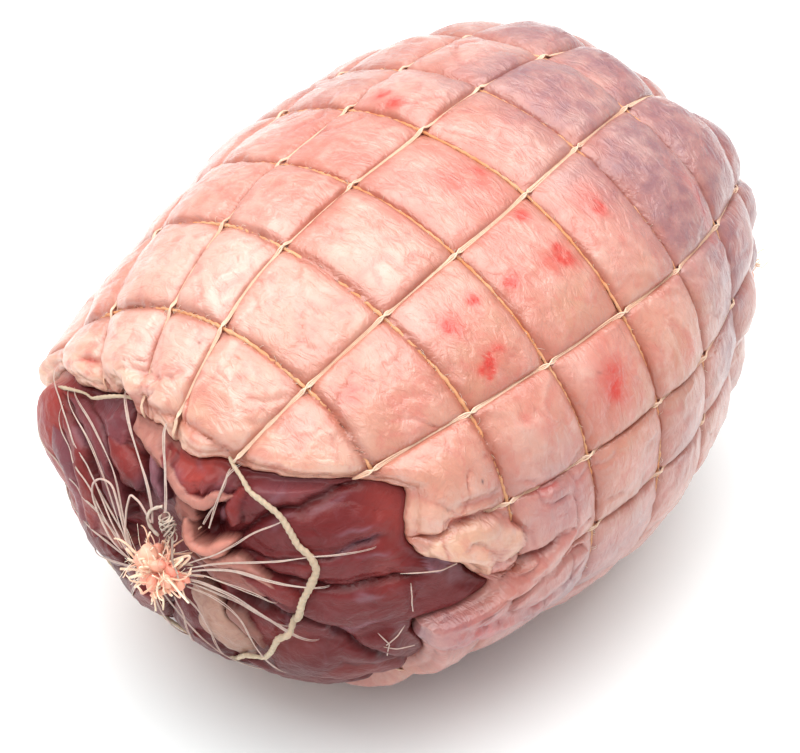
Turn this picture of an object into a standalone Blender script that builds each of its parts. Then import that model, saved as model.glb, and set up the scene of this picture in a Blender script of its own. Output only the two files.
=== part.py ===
# Boned turkey rolled in its own skin and held in a knitted elastic net.
# Metres, +Z up. The roll lies along X, with its tied end at -X, and rests on the plane Z = 0.
# The surface is ruled by the net: a row number runs along the roll from hoop to hoop, and a
# column number runs round it from strand to strand. Sizes below are in millimetres.
import math

import bmesh
import bpy
import numpy as np
from mathutils import Matrix, Vector

MM = 0.001
NAME = "rolled_turkey_roast"

# The roll: a barrel about the X axis, widest at X = 0 before it is set on its place
ROLL_RADIUS = 70.4
NEAR_LENGTH = 102.0
FAR_LENGTH = 98.0
END_FULLNESS = 2.7  # exponent of the profile: 2 is an ellipse, more is blunter
HEIGHT_RATIO = 0.911  # height of the roll's section over its width
END_LIFT = 2.9  # how far the axis has risen 80 mm out from the middle
SLUMP = 3.0  # how far the lower flanks bulge under the meat's own weight
THIGH = (-80.0, 54.0, 27.0, 26.0, 5.0)  # bulge: degrees from the top, along, half width, half length, height
NEAR_TIE = (0.0, -3.0)  # Y and Z of the tied end, off the axis
FAR_TIE = (-22.0, -12.0)
REST_LEVEL = -65.1  # height of the flat spot under the roll, from the axis
PLACE = (3.3, 0.0)  # X and Y by which the roll is moved to centre its box

# The net
HOOP_RUNS = (5, 19, 39.5, 64, 90, 115.5, 142.5, 165, 190.5, 216, 240, 258, 271.5)  # along the profile
STRANDS_SEEN = (-44, -23.5, -4.8, 20.3, 50.5, 72.5, 91, 115)  # degrees from the top, at X = 0
STRAND_DRIFT = (0, -3, 1, -2.5, 5, 4, 3, 0)  # degrees gained over 100 mm along the roll
DRIFT_REACH = 60.0  # beyond this distance from the middle the strands turn no more
STRANDS_BEHIND = 8
CORD_WIDTH = 1.6
CORD_HEIGHT = 1.4
PINCH = 0.8  # width of the cords in the rings at the ties, over their width elsewhere
TIE_DEPTH = 3.5  # how deep the cords dive to the near tie
LOOSE_HOOP = 2
LOOSE_SWING = 1.2  # how far the loose hoop strays to either side of its line
LOOSE_DRAWN = 2.5  # how far it is drawn towards the tie on top
HOOP_GROOVE = 2.0
STRAND_GROOVE = 1.5
PILLOW = 2.2  # how far the skin swells between cords
PILLOW_SPREAD = 0.4
GROOVE_FLOOR = 0.05  # share of a cell that is flat beside a cord
SHOULDER = 0.33  # share of a cell over which it swells to its full height
FULL_FROM = 50.0  # radius from which pillows have their full height
SPLIT = 3  # pieces that one side of a net cell is divided into

# Skin and meat
SKIN_THICKNESS = 4.4  # with its fat, below the barrel
THINNEST_SKIN = 1.2  # what is left of that at the far tie
POLE_DIP = (0.8, 1.5, 2.5)  # how deep the skin, its lining and the meat dip at the far tie
LIP_ROUND = 1.2  # how far the rounded lip stands out from the hem
MEAT_CLEAR = 0.125  # how far in front of the hem, as a share of a row, the meat dives under it
GAP = 0.35  # clear space between neighbouring solids
CORD_CLEAR = 0.8  # height of a cord's underside over its groove
MEAT_LEVEL = -1.6
END_HOLLOW = 6.0  # how deep the bare meat sinks towards the tie
HOLLOW_REACH = 20.0
ROW_PACK = 0.03  # least share of a row between rings, behind the hem and before it
BARE_PACK = 0.04
LIP_EDGE = 0.35  # share of its height that a pillow has at the hem
LIP_ROLL = 5.0  # distance behind the hem where it has its full height
LINING_ROWS = [0, 2, 5, 11, 17, 23, 26, 28, 29]  # which of the skin's rings the coarser lining has
# Hem of the skin: degrees from the top, and its distance along the profile
HEM = ((-64, 54), (-50, 47), (-32, 43), (20, 41.5), (36, 46), (46, 60), (66, 66), (78, 71), (85, 78),
       (91, 86), (96, 80), (103, 69), (130, 76), (160, 70), (200, 60), (250, 59), (280, 62))
# Muscle lobes of the bare end: degrees from the top, distance along, half width round, half length, height
LOBES = (
    (-78, 44, 13, 12, 2.0),
    (-104, 38, 11, 12, 3.5),
    (-42, 31, 10, 9, 3.0),
    (14, 28, 8, 9, 3.5),
    (51, 19, 7, 7, 3.0),
    (64, 44, 16, 14, 1.8),
    (104, 36, 14, 13, 2.2),
    (128, 60, 18, 14, 3.0),
    (158, 27, 11, 10, 2.5),
    (196, 44, 15, 14, 2.5),
    (238, 34, 12, 13, 3.0),
)

# Frayed ends of the net beyond each tie
TUFT_NEAR = (-106.0, -3.0, 3.7)
TUFT_NEAR_SIZE = (5.5, 7.5, 7.5)  # half sizes of its core
TUFT_FAR = ((102.6, -22.1, -7.8), (103.4, -27.0, -14.0), (103.0, -32.5, -20.0), (101.6, -37.5, -25.5))
TUFT_FAR_SIZE = (3.2, 4.5, 5.5)
NECK_RADIUS = 5.3
NECK_ROOT = (-5.0, 1.1)  # lift at which the near and the far neck begin
NEAR_ENDS = 12  # cord ends that stand out of each
FAR_ENDS = 7
END_DROOP = (0.0, -0.5, -1.0)
END_LENGTH = 5.0
SHORT_END = 0.6
END_RADIUS = (1.3, 0.5)
END_SPREAD = (0.95, -0.1)  # how much the first and the last one point away from the roll

# Thread wound in a short coil beside the near tie
COIL_TURNS = 6
COIL_PITCH = 1.4
COIL_RADIUS = 2.4
COIL_GROOVE = 0.5
COIL_SIDES = 9
COIL_FOOT = (15.5, 24)  # along the profile, and degrees from the top
COIL_HEAD = (22.5, 15)
COIL_LIFT = 5.0

SEED = 7
COLUMNS = len(STRANDS_SEEN) + STRANDS_BEHIND
LAST_ROW = len(HOOP_RUNS) - 1
# Row numbers of the skin's rings where the hem is out of the way
SKIN_ROWS = np.array([1.8, 2 + 2 / SPLIT, *(3 + np.arange((LAST_ROW - 3) * SPLIT + 1) / SPLIT)])[:, None]
# And those of the bare end
BARE_ROWS = np.array([-0.55, 0, 0.5, 1, 1.5, 2, *(2 + np.arange(1, 9) / SPLIT)])[:, None]


# A surface of given colour and roughness, with nothing metallic about it
def make_material(name, colour, roughness):
    material = bpy.data.materials.new(name)
    material.use_nodes = True
    shader = material.node_tree.nodes["Principled BSDF"]
    shader.inputs["Base Color"].default_value = (*colour, 1.0)
    shader.inputs["Roughness"].default_value = roughness
    shader.inputs["Metallic"].default_value = 0.0
    return material


# The barrel's profile as fine arrays: run along it, X, radius and the outward normal
def barrel_profile():
    turn = np.linspace(0.0, math.pi, 4001)
    reach = np.abs(np.cos(turn)) ** (2.0 / END_FULLNESS)
    x = np.where(turn < math.pi / 2, -NEAR_LENGTH * reach, FAR_LENGTH * reach)
    radius = ROLL_RADIUS * np.sin(turn)
    dx, dr = np.gradient(x), np.gradient(radius)
    run = np.concatenate([[0.0], np.cumsum(np.hypot(np.diff(x), np.diff(radius)))])
    length = np.hypot(dx, dr)
    return run, x, radius, -dr / length, dx / length


RUN, RUN_X, RUN_RADIUS, NORMAL_X, NORMAL_R = barrel_profile()
FULL_RUN = float(RUN[-1])
WIDEST_RUN = float(np.interp(0.0, RUN_X, RUN))


# Share of its height that a rounded form has at a run and an angle: 1 in its middle, 0 at its edge
def form_share(run, angle, degrees, along, half_round, half_long):
    radius = np.maximum(np.interp(run, RUN, RUN_RADIUS), 6.0)
    turn = (angle - math.radians(degrees) + math.pi) % (2 * math.pi) - math.pi
    return np.clip(1 - (turn * radius / half_round) ** 2 - ((run - along) / half_long) ** 2, 0, 1)


# Points of the roll at a run along its profile, an angle from the top and a lift off the barrel
def place(run, angle, lift):
    run, angle, lift = np.broadcast_arrays(np.asarray(run, float), angle, lift)
    lift = lift + THIGH[4] * form_share(run, angle, *THIGH[:4]) ** 2
    x = np.interp(run, RUN, RUN_X) + lift * np.interp(run, RUN, NORMAL_X)
    radius = np.interp(run, RUN, RUN_RADIUS)
    radius_out = radius + lift * np.interp(run, RUN, NORMAL_R)
    side, up = np.sin(angle), np.cos(angle)
    radius_out = radius_out + SLUMP * np.maximum(-up, 0) * np.abs(side) * 2 * radius / ROLL_RADIUS
    to_tie = (1 - radius / ROLL_RADIUS) ** 2
    near = run < WIDEST_RUN
    y = -radius_out * side + to_tie * np.where(near, NEAR_TIE[0], FAR_TIE[0])
    z = HEIGHT_RATIO * radius_out * up + to_tie * np.where(near, NEAR_TIE[1], FAR_TIE[1])
    z = np.maximum(z + END_LIFT * (x / 80.0) ** 2, REST_LEVEL)
    return np.stack([x + PLACE[0], y + PLACE[1], z - REST_LEVEL], axis=-1)


# Distance along the profile of a row number, which is whole on each hoop
def run_of_row(row):
    rows = np.arange(-1, LAST_ROW + 2)
    runs = np.array([0.0, *HOOP_RUNS, FULL_RUN])
    return np.interp(row, rows, runs)


def row_of_run(run):
    return np.interp(run, [0.0, *HOOP_RUNS, FULL_RUN], np.arange(-1, LAST_ROW + 2))


# Angle from the top, in radians, of a column number at a run: whole on each strand
def angle_of_column(column, run):
    seen = len(STRANDS_SEEN)
    step = (360.0 + STRANDS_SEEN[0] - STRANDS_SEEN[-1]) / (STRANDS_BEHIND + 1)
    behind = [STRANDS_SEEN[-1] + step * (i + 1) for i in range(STRANDS_BEHIND)]
    angles = np.array([*STRANDS_SEEN, *behind, 360.0 + STRANDS_SEEN[0]])
    drifts = np.array([*STRAND_DRIFT, *([0] * STRANDS_BEHIND), STRAND_DRIFT[0]])
    along = np.clip(np.interp(run, RUN, RUN_X), -DRIFT_REACH, DRIFT_REACH) / 100.0
    whole = np.arange(len(angles))
    return np.radians(np.interp(column, whole, angles) + np.interp(column, whole, drifts) * along)


# Small ends have small pillows: 1 on the flanks, less towards the ties
def fullness(run):
    return np.clip(np.interp(run, RUN, RUN_RADIUS) / FULL_FROM, 0.0, 1.0)


# How far a cell has swollen at a row or column number: 0 beside a cord, 1 in its middle
def swell(number):
    edge = 0.5 - np.abs(number - np.floor(number) - 0.5)
    return np.sin(math.pi / 2 * np.clip((edge - GROOVE_FLOOR) / (SHOULDER - GROOVE_FLOOR), 0, 1)) ** 0.8


# Lift of the netted surface: it swells inside each cell and sinks to its cords
def pillow_lift(row, column, crest):
    along, across = swell(row), swell(column)
    rng = np.random.default_rng(SEED)
    heights = crest + PILLOW_SPREAD * rng.uniform(-1, 1, (LAST_ROW + 3, COLUMNS))
    height = heights[np.floor(row).astype(int) + 1, np.floor(column).astype(int) % COLUMNS]
    lift = height * along * across - HOOP_GROOVE * (1 - along) - STRAND_GROOVE * (1 - across) * along
    return lift * fullness(run_of_row(row))


# Distance along the profile of the skin's hem at an angle in radians
def hem_run(angle):
    degrees = np.degrees(angle)
    knots = np.array([*HEM, (HEM[0][0] + 360, HEM[0][1])], float)
    return np.interp((degrees - HEM[0][0]) % 360 + HEM[0][0], knots[:, 0], knots[:, 1])


# Height that the muscle lobes add at a run and an angle
def lobe_lift(run, angle):
    total = np.zeros(np.broadcast(run, angle).shape)
    for *form, height in LOBES:
        total = np.maximum(total, height * form_share(run, angle, *form) ** 0.7)
    return total


# A closed body lofted through rings of points, each end drawn together at one point
def loft(name, rings, first, last, material):
    count = rings.shape[1]
    points = np.concatenate([rings.reshape(-1, 3), [first], [last]]) * MM
    first_index, last_index = len(points) - 2, len(points) - 1
    faces = []
    for i in range(len(rings) - 1):
        for j in range(count):
            k = (j + 1) % count
            faces.append((i * count + j, i * count + k, (i + 1) * count + k, (i + 1) * count + j))
    end = (len(rings) - 1) * count
    for j in range(count):
        k = (j + 1) % count
        faces.append((first_index, k, j))
        faces.append((last_index, end + j, end + k))
    return finish_mesh(name, points, faces, material)


# Puts points and faces into an object with outward faces
def finish_mesh(name, points, faces, material):
    mesh = bpy.data.meshes.new(name)
    mesh.from_pydata([tuple(p) for p in points], [], faces)
    body = bmesh.new()
    body.from_mesh(mesh)
    bmesh.ops.recalc_face_normals(body, faces=body.faces)
    body.to_mesh(mesh)
    body.free()
    mesh.shade_smooth()
    mesh.set_sharp_from_angle(angle=math.radians(50))
    mesh.materials.append(material)
    made = bpy.data.objects.new(name, mesh)
    parts.objects.link(made)
    return made


# Column numbers round the roll, SPLIT to a cell
def ring_columns():
    return np.arange(COLUMNS * SPLIT) / SPLIT


# Moves the row numbers that pass close to a hoop onto it, all but the first
def snap_to_hoops(rows, reach):
    whole = np.round(rows)
    snapped = np.where(np.abs(rows - whole) < reach, whole, rows)
    snapped[0] = rows[0]
    return snapped


# Row numbers from the hem to the far tie, packed evenly where the hem cuts in
def rows_behind_hem(columns):
    packed = hem_row(columns) + ROW_PACK * np.arange(len(SKIN_ROWS))[:, None]
    return snap_to_hoops(np.maximum(SKIN_ROWS, packed), 0.49 * ROW_PACK)


# Row numbers of the bare end, from the tie to the hem, packed evenly in front of the hem
def rows_before_hem(columns):
    packed = hem_row(columns) - MEAT_CLEAR - BARE_PACK * np.arange(len(BARE_ROWS))[::-1, None]
    return snap_to_hoops(np.minimum(BARE_ROWS, packed), 0.49 * BARE_PACK)


def hem_row(columns):
    return row_of_run(hem_run(angle_of_column(columns, HOOP_RUNS[3])))[None, :]


# Lift of the skin's outer face: pillows that roll down to the lip at the hem
def skin_lift(rows, columns):
    floor = -HOOP_GROOVE * fullness(run_of_row(rows))
    behind = run_of_row(rows) - run_of_row(rows[:1])
    rolled = LIP_EDGE + (1 - LIP_EDGE) * np.sqrt(np.clip(behind / LIP_ROLL, 0, 1))
    return floor + rolled * (pillow_lift(rows, columns, PILLOW) - floor)


# Lift of the skin's inner face
def lining_lift(run):
    return -(SKIN_THICKNESS * fullness(run) + THINNEST_SKIN)


# The skin: a shell from its ragged hem to the far tie, with a rounded lip at the hem
def make_skin(material):
    columns = ring_columns()[None, :]
    rows = rows_behind_hem(columns[0])
    runs = run_of_row(rows)
    angles = angle_of_column(columns, runs)
    outer = place(runs, angles, skin_lift(rows, columns))
    lining = place(runs[LINING_ROWS], angles[LINING_ROWS], lining_lift(runs[LINING_ROWS]))
    lip = place(runs[:1] - LIP_ROUND, angles[:1], -SKIN_THICKNESS / 2)
    rings = np.concatenate([lining[::-1], lip, outer])
    pole_in = place(FULL_RUN, 0.0, lining_lift(FULL_RUN) - POLE_DIP[1])
    pole_out = place(FULL_RUN, 0.0, -POLE_DIP[0])
    return loft("skin", rings, pole_in, pole_out, material)


# The meat: bare and lobed at the tied end, then under the skin to the far tie
def make_meat(material):
    columns = ring_columns()[None, :]
    rows = rows_before_hem(columns[0])
    runs = run_of_row(rows)
    angles = angle_of_column(columns, runs)
    hollow = END_HOLLOW * np.exp(-((np.interp(runs, RUN, RUN_RADIUS) / HOLLOW_REACH) ** 2))
    lobes = lobe_lift(runs, angles) * swell(rows) * swell(columns)
    lift = MEAT_LEVEL - hollow + lobes + 0.5 * pillow_lift(rows, columns, PILLOW)
    bare = place(runs, angles, lift)
    rows = rows_behind_hem(columns[0])
    runs = run_of_row(rows)
    angles = angle_of_column(columns, runs)
    tuck = place(runs[:1] - LIP_ROUND, angles[:1], lining_lift(runs[:1]) - 3 * GAP)
    under = place(runs[LINING_ROWS], angles[LINING_ROWS], lining_lift(runs[LINING_ROWS]) - 3 * GAP)
    near_pole = place(0.0, 0.0, MEAT_LEVEL - END_HOLLOW)
    far_pole = place(FULL_RUN, 0.0, lining_lift(FULL_RUN) - POLE_DIP[2])
    return loft("meat", np.concatenate([bare, tuck, under]), near_pole, far_pole, material)


# Lift of a cord's underside: it lies in the grooves, spans free to the small hoop and dives to the tie
def cord_lift(row, column):
    if row >= LOOSE_HOOP:
        return float(pillow_lift(row, column, PILLOW)) + CORD_CLEAR
    return CORD_CLEAR if row > 0 else -TIE_DEPTH


# How far the loose hoop strays along the roll at each strand: it is drawn in under the skin on top
def loose_stray():
    rng = np.random.default_rng(SEED + 1)
    angles = angle_of_column(np.arange(COLUMNS), HOOP_RUNS[LOOSE_HOOP])
    drawn_in = np.maximum(np.cos(angles + math.radians(15)), 0)
    return LOOSE_SWING * rng.uniform(-1, 1, COLUMNS) - LOOSE_DRAWN * drawn_in


# The net: three-sided cords that share a block at each crossing, so the whole net is one body
def make_net(material):
    stray = np.append(loose_stray(), loose_stray()[0])
    points, faces = [], []

    def frame(row, column):
        near_hoop = max(0.0, 1.0 - abs(row - LOOSE_HOOP))
        run = run_of_row(row) + near_hoop * np.interp(column % COLUMNS, np.arange(COLUMNS + 1), stray)
        angle = angle_of_column(column % COLUMNS, run)
        centre = place(run, angle, cord_lift(row, column % COLUMNS))
        ahead = place(run + 0.5, angle, 0.0) - place(run - 0.5, angle, 0.0)
        across = place(run, angle + 0.01, 0.0) - place(run, angle - 0.01, 0.0)
        ahead, across = ahead / np.linalg.norm(ahead), across / np.linalg.norm(across)
        out = place(run, angle, 1.0) - place(run, angle, 0.0)
        return centre, ahead, across, out / np.linalg.norm(out)

    def add(point):
        points.append(point)
        return len(points) - 1

    # A crossing has four corners below and one point above, and hands a side to each cord
    def crossing(row, column):
        centre, ahead, across, out = frame(row, column)
        half = CORD_WIDTH / 2 * (PINCH if row in (0, LAST_ROW) else 1.0)
        ends = [(a, b) for a in (-1, 1) for b in (-1, 1)]
        corner = {(a, b): add(centre + half * (a * ahead + b * across)) for a, b in ends}
        top = add(centre + CORD_HEIGHT * out)
        faces.append((corner[-1, -1], corner[1, -1], corner[1, 1], corner[-1, 1]))
        return {
            "far": (corner[1, -1], corner[1, 1], top),
            "near": (corner[-1, -1], corner[-1, 1], top),
            "after": (corner[-1, 1], corner[1, 1], top),
            "before": (corner[-1, -1], corner[1, -1], top),
        }

    # One three-sided section of a cord that runs ahead or across
    def section(row, column, runs_ahead):
        centre, ahead, across, out = frame(row, column)
        side = across if runs_ahead else ahead
        half = CORD_WIDTH / 2
        return (add(centre - side * half), add(centre + side * half), add(centre + CORD_HEIGHT * out))

    def join(sections):
        for one, two in zip(sections[:-1], sections[1:]):
            for i in range(3):
                k = (i + 1) % 3
                faces.append((one[i], one[k], two[k], two[i]))

    blocks = [[crossing(row, column) for column in range(COLUMNS)] for row in range(LAST_ROW + 1)]
    for row in range(LAST_ROW + 1):
        steps = SPLIT if LOOSE_HOOP <= row <= LAST_ROW - 2 else 1
        for column in range(COLUMNS):
            middle = [section(row, column + i / steps, False) for i in range(1, steps)]
            join([blocks[row][column]["after"], *middle, blocks[row][(column + 1) % COLUMNS]["before"]])
    for row in range(LAST_ROW):
        steps = SPLIT if row >= LOOSE_HOOP else 1
        for column in range(COLUMNS):
            middle = [section(row + i / steps, column, True) for i in range(1, steps)]
            join([blocks[row][column]["far"], *middle, blocks[row + 1][column]["near"]])
    faces.extend(block["near"] for block in blocks[0])
    faces.extend(block["far"] for block in blocks[LAST_ROW])
    return finish_mesh("net", np.array(points) * MM, faces, material)


# Adds a body made with bmesh to those that are joined to the net
def add_piece(build):
    mesh = bpy.data.meshes.new("piece")
    body = bmesh.new()
    build(body)
    body.to_mesh(mesh)
    body.free()
    pieces.objects.link(bpy.data.objects.new("piece", mesh))


# A tapered round bar between two points
def add_bar(start, end, radii, sides):
    start, end = Vector(start), Vector(end)
    turn = (end - start).to_track_quat("Z", "Y").to_matrix().to_4x4()
    matrix = Matrix.Translation((start + end) / 2 * MM) @ turn
    sizes = {"segments": sides, "radius1": radii[0] * MM, "radius2": radii[1] * MM}
    depth = (end - start).length * MM
    add_piece(lambda body: bmesh.ops.create_cone(body, cap_ends=True, depth=depth, matrix=matrix, **sizes))


# An egg-shaped lump
def add_lump(centre, half_sizes):
    matrix = Matrix.Translation(Vector(centre) * MM) @ Matrix.Diagonal((*half_sizes, 1.0))
    sizes = {"u_segments": 9, "v_segments": 6, "radius": MM}
    add_piece(lambda body: bmesh.ops.create_uvsphere(body, matrix=matrix, **sizes))


# A point measured from the barrel's centre, set on its place
def set_down(point):
    return np.array(point) + (*PLACE, -REST_LEVEL)


# Cord ends that stand out of a lump, turned on by the golden angle, long and short in turn
def add_ends(centre, half_sizes, count, facing, droop):
    for i in range(count):
        outward = END_SPREAD[0] + (END_SPREAD[1] - END_SPREAD[0]) * i / count
        turn = i * math.pi * (3 - math.sqrt(5))
        ring = math.sqrt(1 - outward**2)
        way = np.array([facing * outward, ring * math.cos(turn), ring * math.sin(turn)])
        reach = np.array(half_sizes) + END_LENGTH * (SHORT_END if i % 2 else 1.0)
        add_bar(centre + 0.5 * way * half_sizes, centre + way * reach + droop, END_RADIUS, 4)


# The two tufts of cord ends, each on a neck that comes out of the gathered net; the far one droops
def add_tufts():
    near = set_down(TUFT_NEAR)
    add_bar(place(0.0, 0.0, NECK_ROOT[0]), near, (NECK_RADIUS, NECK_RADIUS), 12)
    add_lump(near, TUFT_NEAR_SIZE)
    add_ends(near, TUFT_NEAR_SIZE, NEAR_ENDS, -1, (0.0, 0.0, 0.0))
    stops = [set_down(stop) for stop in TUFT_FAR]
    add_bar(place(FULL_RUN, 0.0, NECK_ROOT[1]), stops[0], (NECK_RADIUS, NECK_RADIUS), 12)
    for stop in stops:
        add_lump(stop, TUFT_FAR_SIZE)
    add_ends(stops[-1], TUFT_FAR_SIZE, FAR_ENDS, 1, END_DROOP)


# Joins the waiting pieces to a body by one Boolean union, and removes them
def join_to(base):
    union = base.modifiers.new("union", "BOOLEAN")
    union.operation = "UNION"
    union.operand_type = "COLLECTION"
    union.collection = pieces
    union.solver = "EXACT"
    joined = bpy.data.meshes.new_from_object(base.evaluated_get(bpy.context.evaluated_depsgraph_get()))
    base.modifiers.remove(union)
    single = base.data
    base.data = joined
    bpy.data.meshes.remove(single)
    joined.name = base.name
    for piece in list(pieces.objects):
        bpy.data.objects.remove(piece)
    joined.set_sharp_from_angle(angle=math.radians(50))


# The wound thread: a ribbed spindle turned about its own axis
def make_coil(material):
    profile = [(0.0, 0.0)]
    for i in range(2 * COIL_TURNS + 1):
        profile.append((COIL_RADIUS - COIL_GROOVE * (1 - i % 2), i * COIL_PITCH / 2))
    profile.append((0.0, COIL_TURNS * COIL_PITCH))
    mesh = bpy.data.meshes.new("tie_thread")
    points = [(radius * MM, 0.0, height * MM) for radius, height in reversed(profile)]
    mesh.from_pydata(points, [(i, i + 1) for i in range(len(points) - 1)], [])
    mesh.materials.append(material)
    coil = bpy.data.objects.new("tie_thread", mesh)
    parts.objects.link(coil)
    screw = coil.modifiers.new("turned", "SCREW")
    screw.steps = screw.render_steps = COIL_SIDES
    screw.use_merge_vertices = True
    screw.merge_threshold = 0.01 * MM
    foot = place(COIL_FOOT[0], math.radians(COIL_FOOT[1]), COIL_LIFT)
    head = place(COIL_HEAD[0], math.radians(COIL_HEAD[1]), COIL_LIFT)
    coil.location = foot * MM
    coil.rotation_euler = Vector(head - foot).to_track_quat("Z", "Y").to_euler()


# Start with an empty scene
for old in list(bpy.data.objects):
    bpy.data.objects.remove(old)
parts = bpy.data.collections.new(NAME)
pieces = bpy.data.collections.new("pieces_to_join")
bpy.context.scene.collection.children.link(parts)
bpy.context.scene.collection.children.link(pieces)

make_meat(make_material("bare_meat", (0.27, 0.085, 0.09), 0.38))
make_skin(make_material("raw_skin", (0.78, 0.47, 0.39), 0.34))
net = make_net(make_material("net_elastic", (0.8, 0.62, 0.44), 0.7))
add_tufts()
join_to(net)
make_coil(make_material("tie_thread", (0.7, 0.66, 0.6), 0.75))
bpy.data.collections.remove(pieces)
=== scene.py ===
import math

import bpy
import numpy as np
from mathutils import Matrix, Vector


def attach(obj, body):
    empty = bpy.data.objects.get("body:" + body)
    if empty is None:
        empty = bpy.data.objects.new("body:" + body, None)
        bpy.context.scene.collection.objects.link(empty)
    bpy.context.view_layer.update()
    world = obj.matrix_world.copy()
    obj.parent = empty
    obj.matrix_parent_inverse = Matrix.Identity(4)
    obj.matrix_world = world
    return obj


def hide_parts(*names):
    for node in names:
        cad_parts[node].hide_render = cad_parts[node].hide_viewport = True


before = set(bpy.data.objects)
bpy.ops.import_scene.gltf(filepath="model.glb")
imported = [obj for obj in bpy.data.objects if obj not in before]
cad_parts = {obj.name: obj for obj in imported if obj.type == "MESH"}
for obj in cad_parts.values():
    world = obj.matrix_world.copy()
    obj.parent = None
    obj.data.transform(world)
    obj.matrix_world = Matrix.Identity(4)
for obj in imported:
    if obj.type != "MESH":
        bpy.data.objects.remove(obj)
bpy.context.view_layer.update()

mm = 0.001
fullTurn = 2 * math.pi

# the roll is a barrel about X, ruled by the net: sizes in mm, angles in degrees from the top, and a run is
# the length along the surface from the near tie
roll = {
    "radius": 70.4,
    "nearLength": 102.0,
    "farLength": 98.0,
    "fullness": 2.7,  # 2 would be an ellipse, more is blunter
    "profileSamples": 6001,
    "height": 0.911,  # height of the section over its width
    "endLift": 2.9,  # the ends bend up by this much at this distance from the middle
    "endReach": 80,
    "slump": 3.0,
    "nearTie": (0.0, -3.0),
    "farTie": (-22.0, -12.0),
    # swells and hollows: run, degrees, half length, half width round, height
    "forms": (
        (54, -80, 26, 27, 5.0), (206, 92, 62, 62, -5.5), (234, 8, 34, 34, -4.5), (102, -62, 44, 32, -4.6),
        (68, -70, 15, 16, -2.4), (100, 126, 50, 34, -3.5), (224, 46, 26, 22, 1.5),
    ),
    "restLevel": -65.1,
    "place": (3.3, 0.0),
}
net = {
    "hoopRuns": (5, 19, 39.5, 64, 90, 115.5, 142.5, 165, 190.5, 216, 240, 258, 271.5),
    "firstOnSkin": 3,  # number of the first hoop that lies on skin
    "strands": (-44, -23.5, -4.8, 20.3, 50.5, 72.5, 91, 115),
    "drift": (0, -3, 1, -2.5, 5, 4, 3, 0),  # degrees that a strand turns over 100 mm
    "driftReach": 60,  # it stops turning this far from the middle
    "behind": 8,
    "rowPitch": 24.0,
    "columnPitch": 25.0,
    "sway": 0.7,  # how far a cord strays from its line
    "runSway": 1.6,
    "swayPitch": (22, 26),
}
columnCount = len(net["strands"]) + net["behind"]
lastRow = len(net["hoopRuns"]) - 1


# superellipse: x = -/+ length * |cos t|^(2/fullness), radius = full radius * sin t, with the run as its
# arc length, and the outward direction square to it
def profileTables():
    t = np.linspace(0, math.pi, roll["profileSamples"])
    reach = np.abs(np.cos(t)) ** (2 / roll["fullness"])
    x = np.where(t < math.pi / 2, -roll["nearLength"] * reach, roll["farLength"] * reach)
    r = roll["radius"] * np.sin(t)
    run = np.concatenate([[0], np.cumsum(np.hypot(np.diff(x), np.diff(r)))])
    dx, dr = np.gradient(x), np.gradient(r)
    size = np.hypot(dx, dr)
    return run, x, r, -dr / size, dx / size


runTable, xTable, radiusTable, outX, outR = profileTables()
fullRun = float(runTable[-1])
widestRun = float(np.interp(0, xTable, runTable))
rowKnots = np.arange(-1, lastRow + 2)
runKnots = [0, *net["hoopRuns"], fullRun]


# distance of the surface from its axis at a run
def radiusAt(run):
    return np.interp(run, runTable, radiusTable)


# run of a row number and row number of a run: straight between the hoops
def runOfRow(row):
    return np.interp(row, rowKnots, runKnots)


def rowOfRun(run):
    return np.interp(run, runKnots, rowKnots)


# angle in degrees from the top, between -180 and 180
def fromTop(angle):
    return (np.degrees(angle) + 180) % 360 - 180


# turn in radians from a place round the roll, between -pi and pi
def turnFrom(angle, degrees):
    return (angle - math.radians(degrees) + math.pi) % fullTurn - math.pi


# steady rise from 0 at low to 1 at high: 3 t^2 - 2 t^3
def smooth(low, high, value):
    t = np.clip((value - low) / (high - low), 0, 1)
    return t * t * (3 - 2 * t)


# bell: exp(-(away / width)^2)
def bell(away, width):
    return np.exp(-((away / width) ** 2))


# dome over each whole step of a number: 1 - |2 n - 1|^power
def dome(number, power):
    return 1 - np.abs(2 * (number - np.floor(number)) - 1) ** power


# same directions with length 1
def unit(ways):
    return ways / np.maximum(np.linalg.norm(ways, axis=-1, keepdims=True), 1e-9)


# directions made square to a line by taking their share along it away
def squareTo(ways, line):
    return unit(ways - (ways * line).sum(-1, keepdims=True) * line)


# share of a rounded form: 1 - (across / half width)^2 - (along / half length)^2, never below 0
def formShare(run, angle, along, degrees, halfLong, halfRound):
    across = turnFrom(angle, degrees) * np.maximum(radiusAt(run), 6)
    return np.clip(1 - (across / halfRound) ** 2 - ((run - along) / halfLong) ** 2, 0, 1)


# point in mm of the roll at a run, an angle from the top and a lift: the section is a circle squashed in
# height, bulged below, bent up at both ends, drawn to each tie and flat where it rests
def onRoll(run, angle, lift):
    run, angle, lift = np.broadcast_arrays(*(np.asarray(value, float) for value in (run, angle, lift)))
    for *form, height in roll["forms"]:
        lift = lift + height * formShare(run, angle, *form) ** 2
    x = np.interp(run, runTable, xTable) + lift * np.interp(run, runTable, outX)
    radius = radiusAt(run)
    wide = radius + lift * np.interp(run, runTable, outR)
    side, up = np.sin(angle), np.cos(angle)
    wide = wide + roll["slump"] * np.maximum(-up, 0) * np.abs(side) * 2 * radius / roll["radius"]
    toTie = (1 - radius / roll["radius"]) ** 2
    near = run < widestRun
    y = -wide * side + toTie * np.where(near, roll["nearTie"][0], roll["farTie"][0])
    z = roll["height"] * wide * up + toTie * np.where(near, roll["nearTie"][1], roll["farTie"][1])
    z = np.maximum(z + roll["endLift"] * (x / roll["endReach"]) ** 2, roll["restLevel"])
    return np.stack([x + roll["place"][0], y + roll["place"][1], z - roll["restLevel"]], -1)


# outward direction: the difference of two lifts
def outward(run, angle):
    return unit(onRoll(run, angle, 2.0) - onRoll(run, angle, 0.0))


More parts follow.
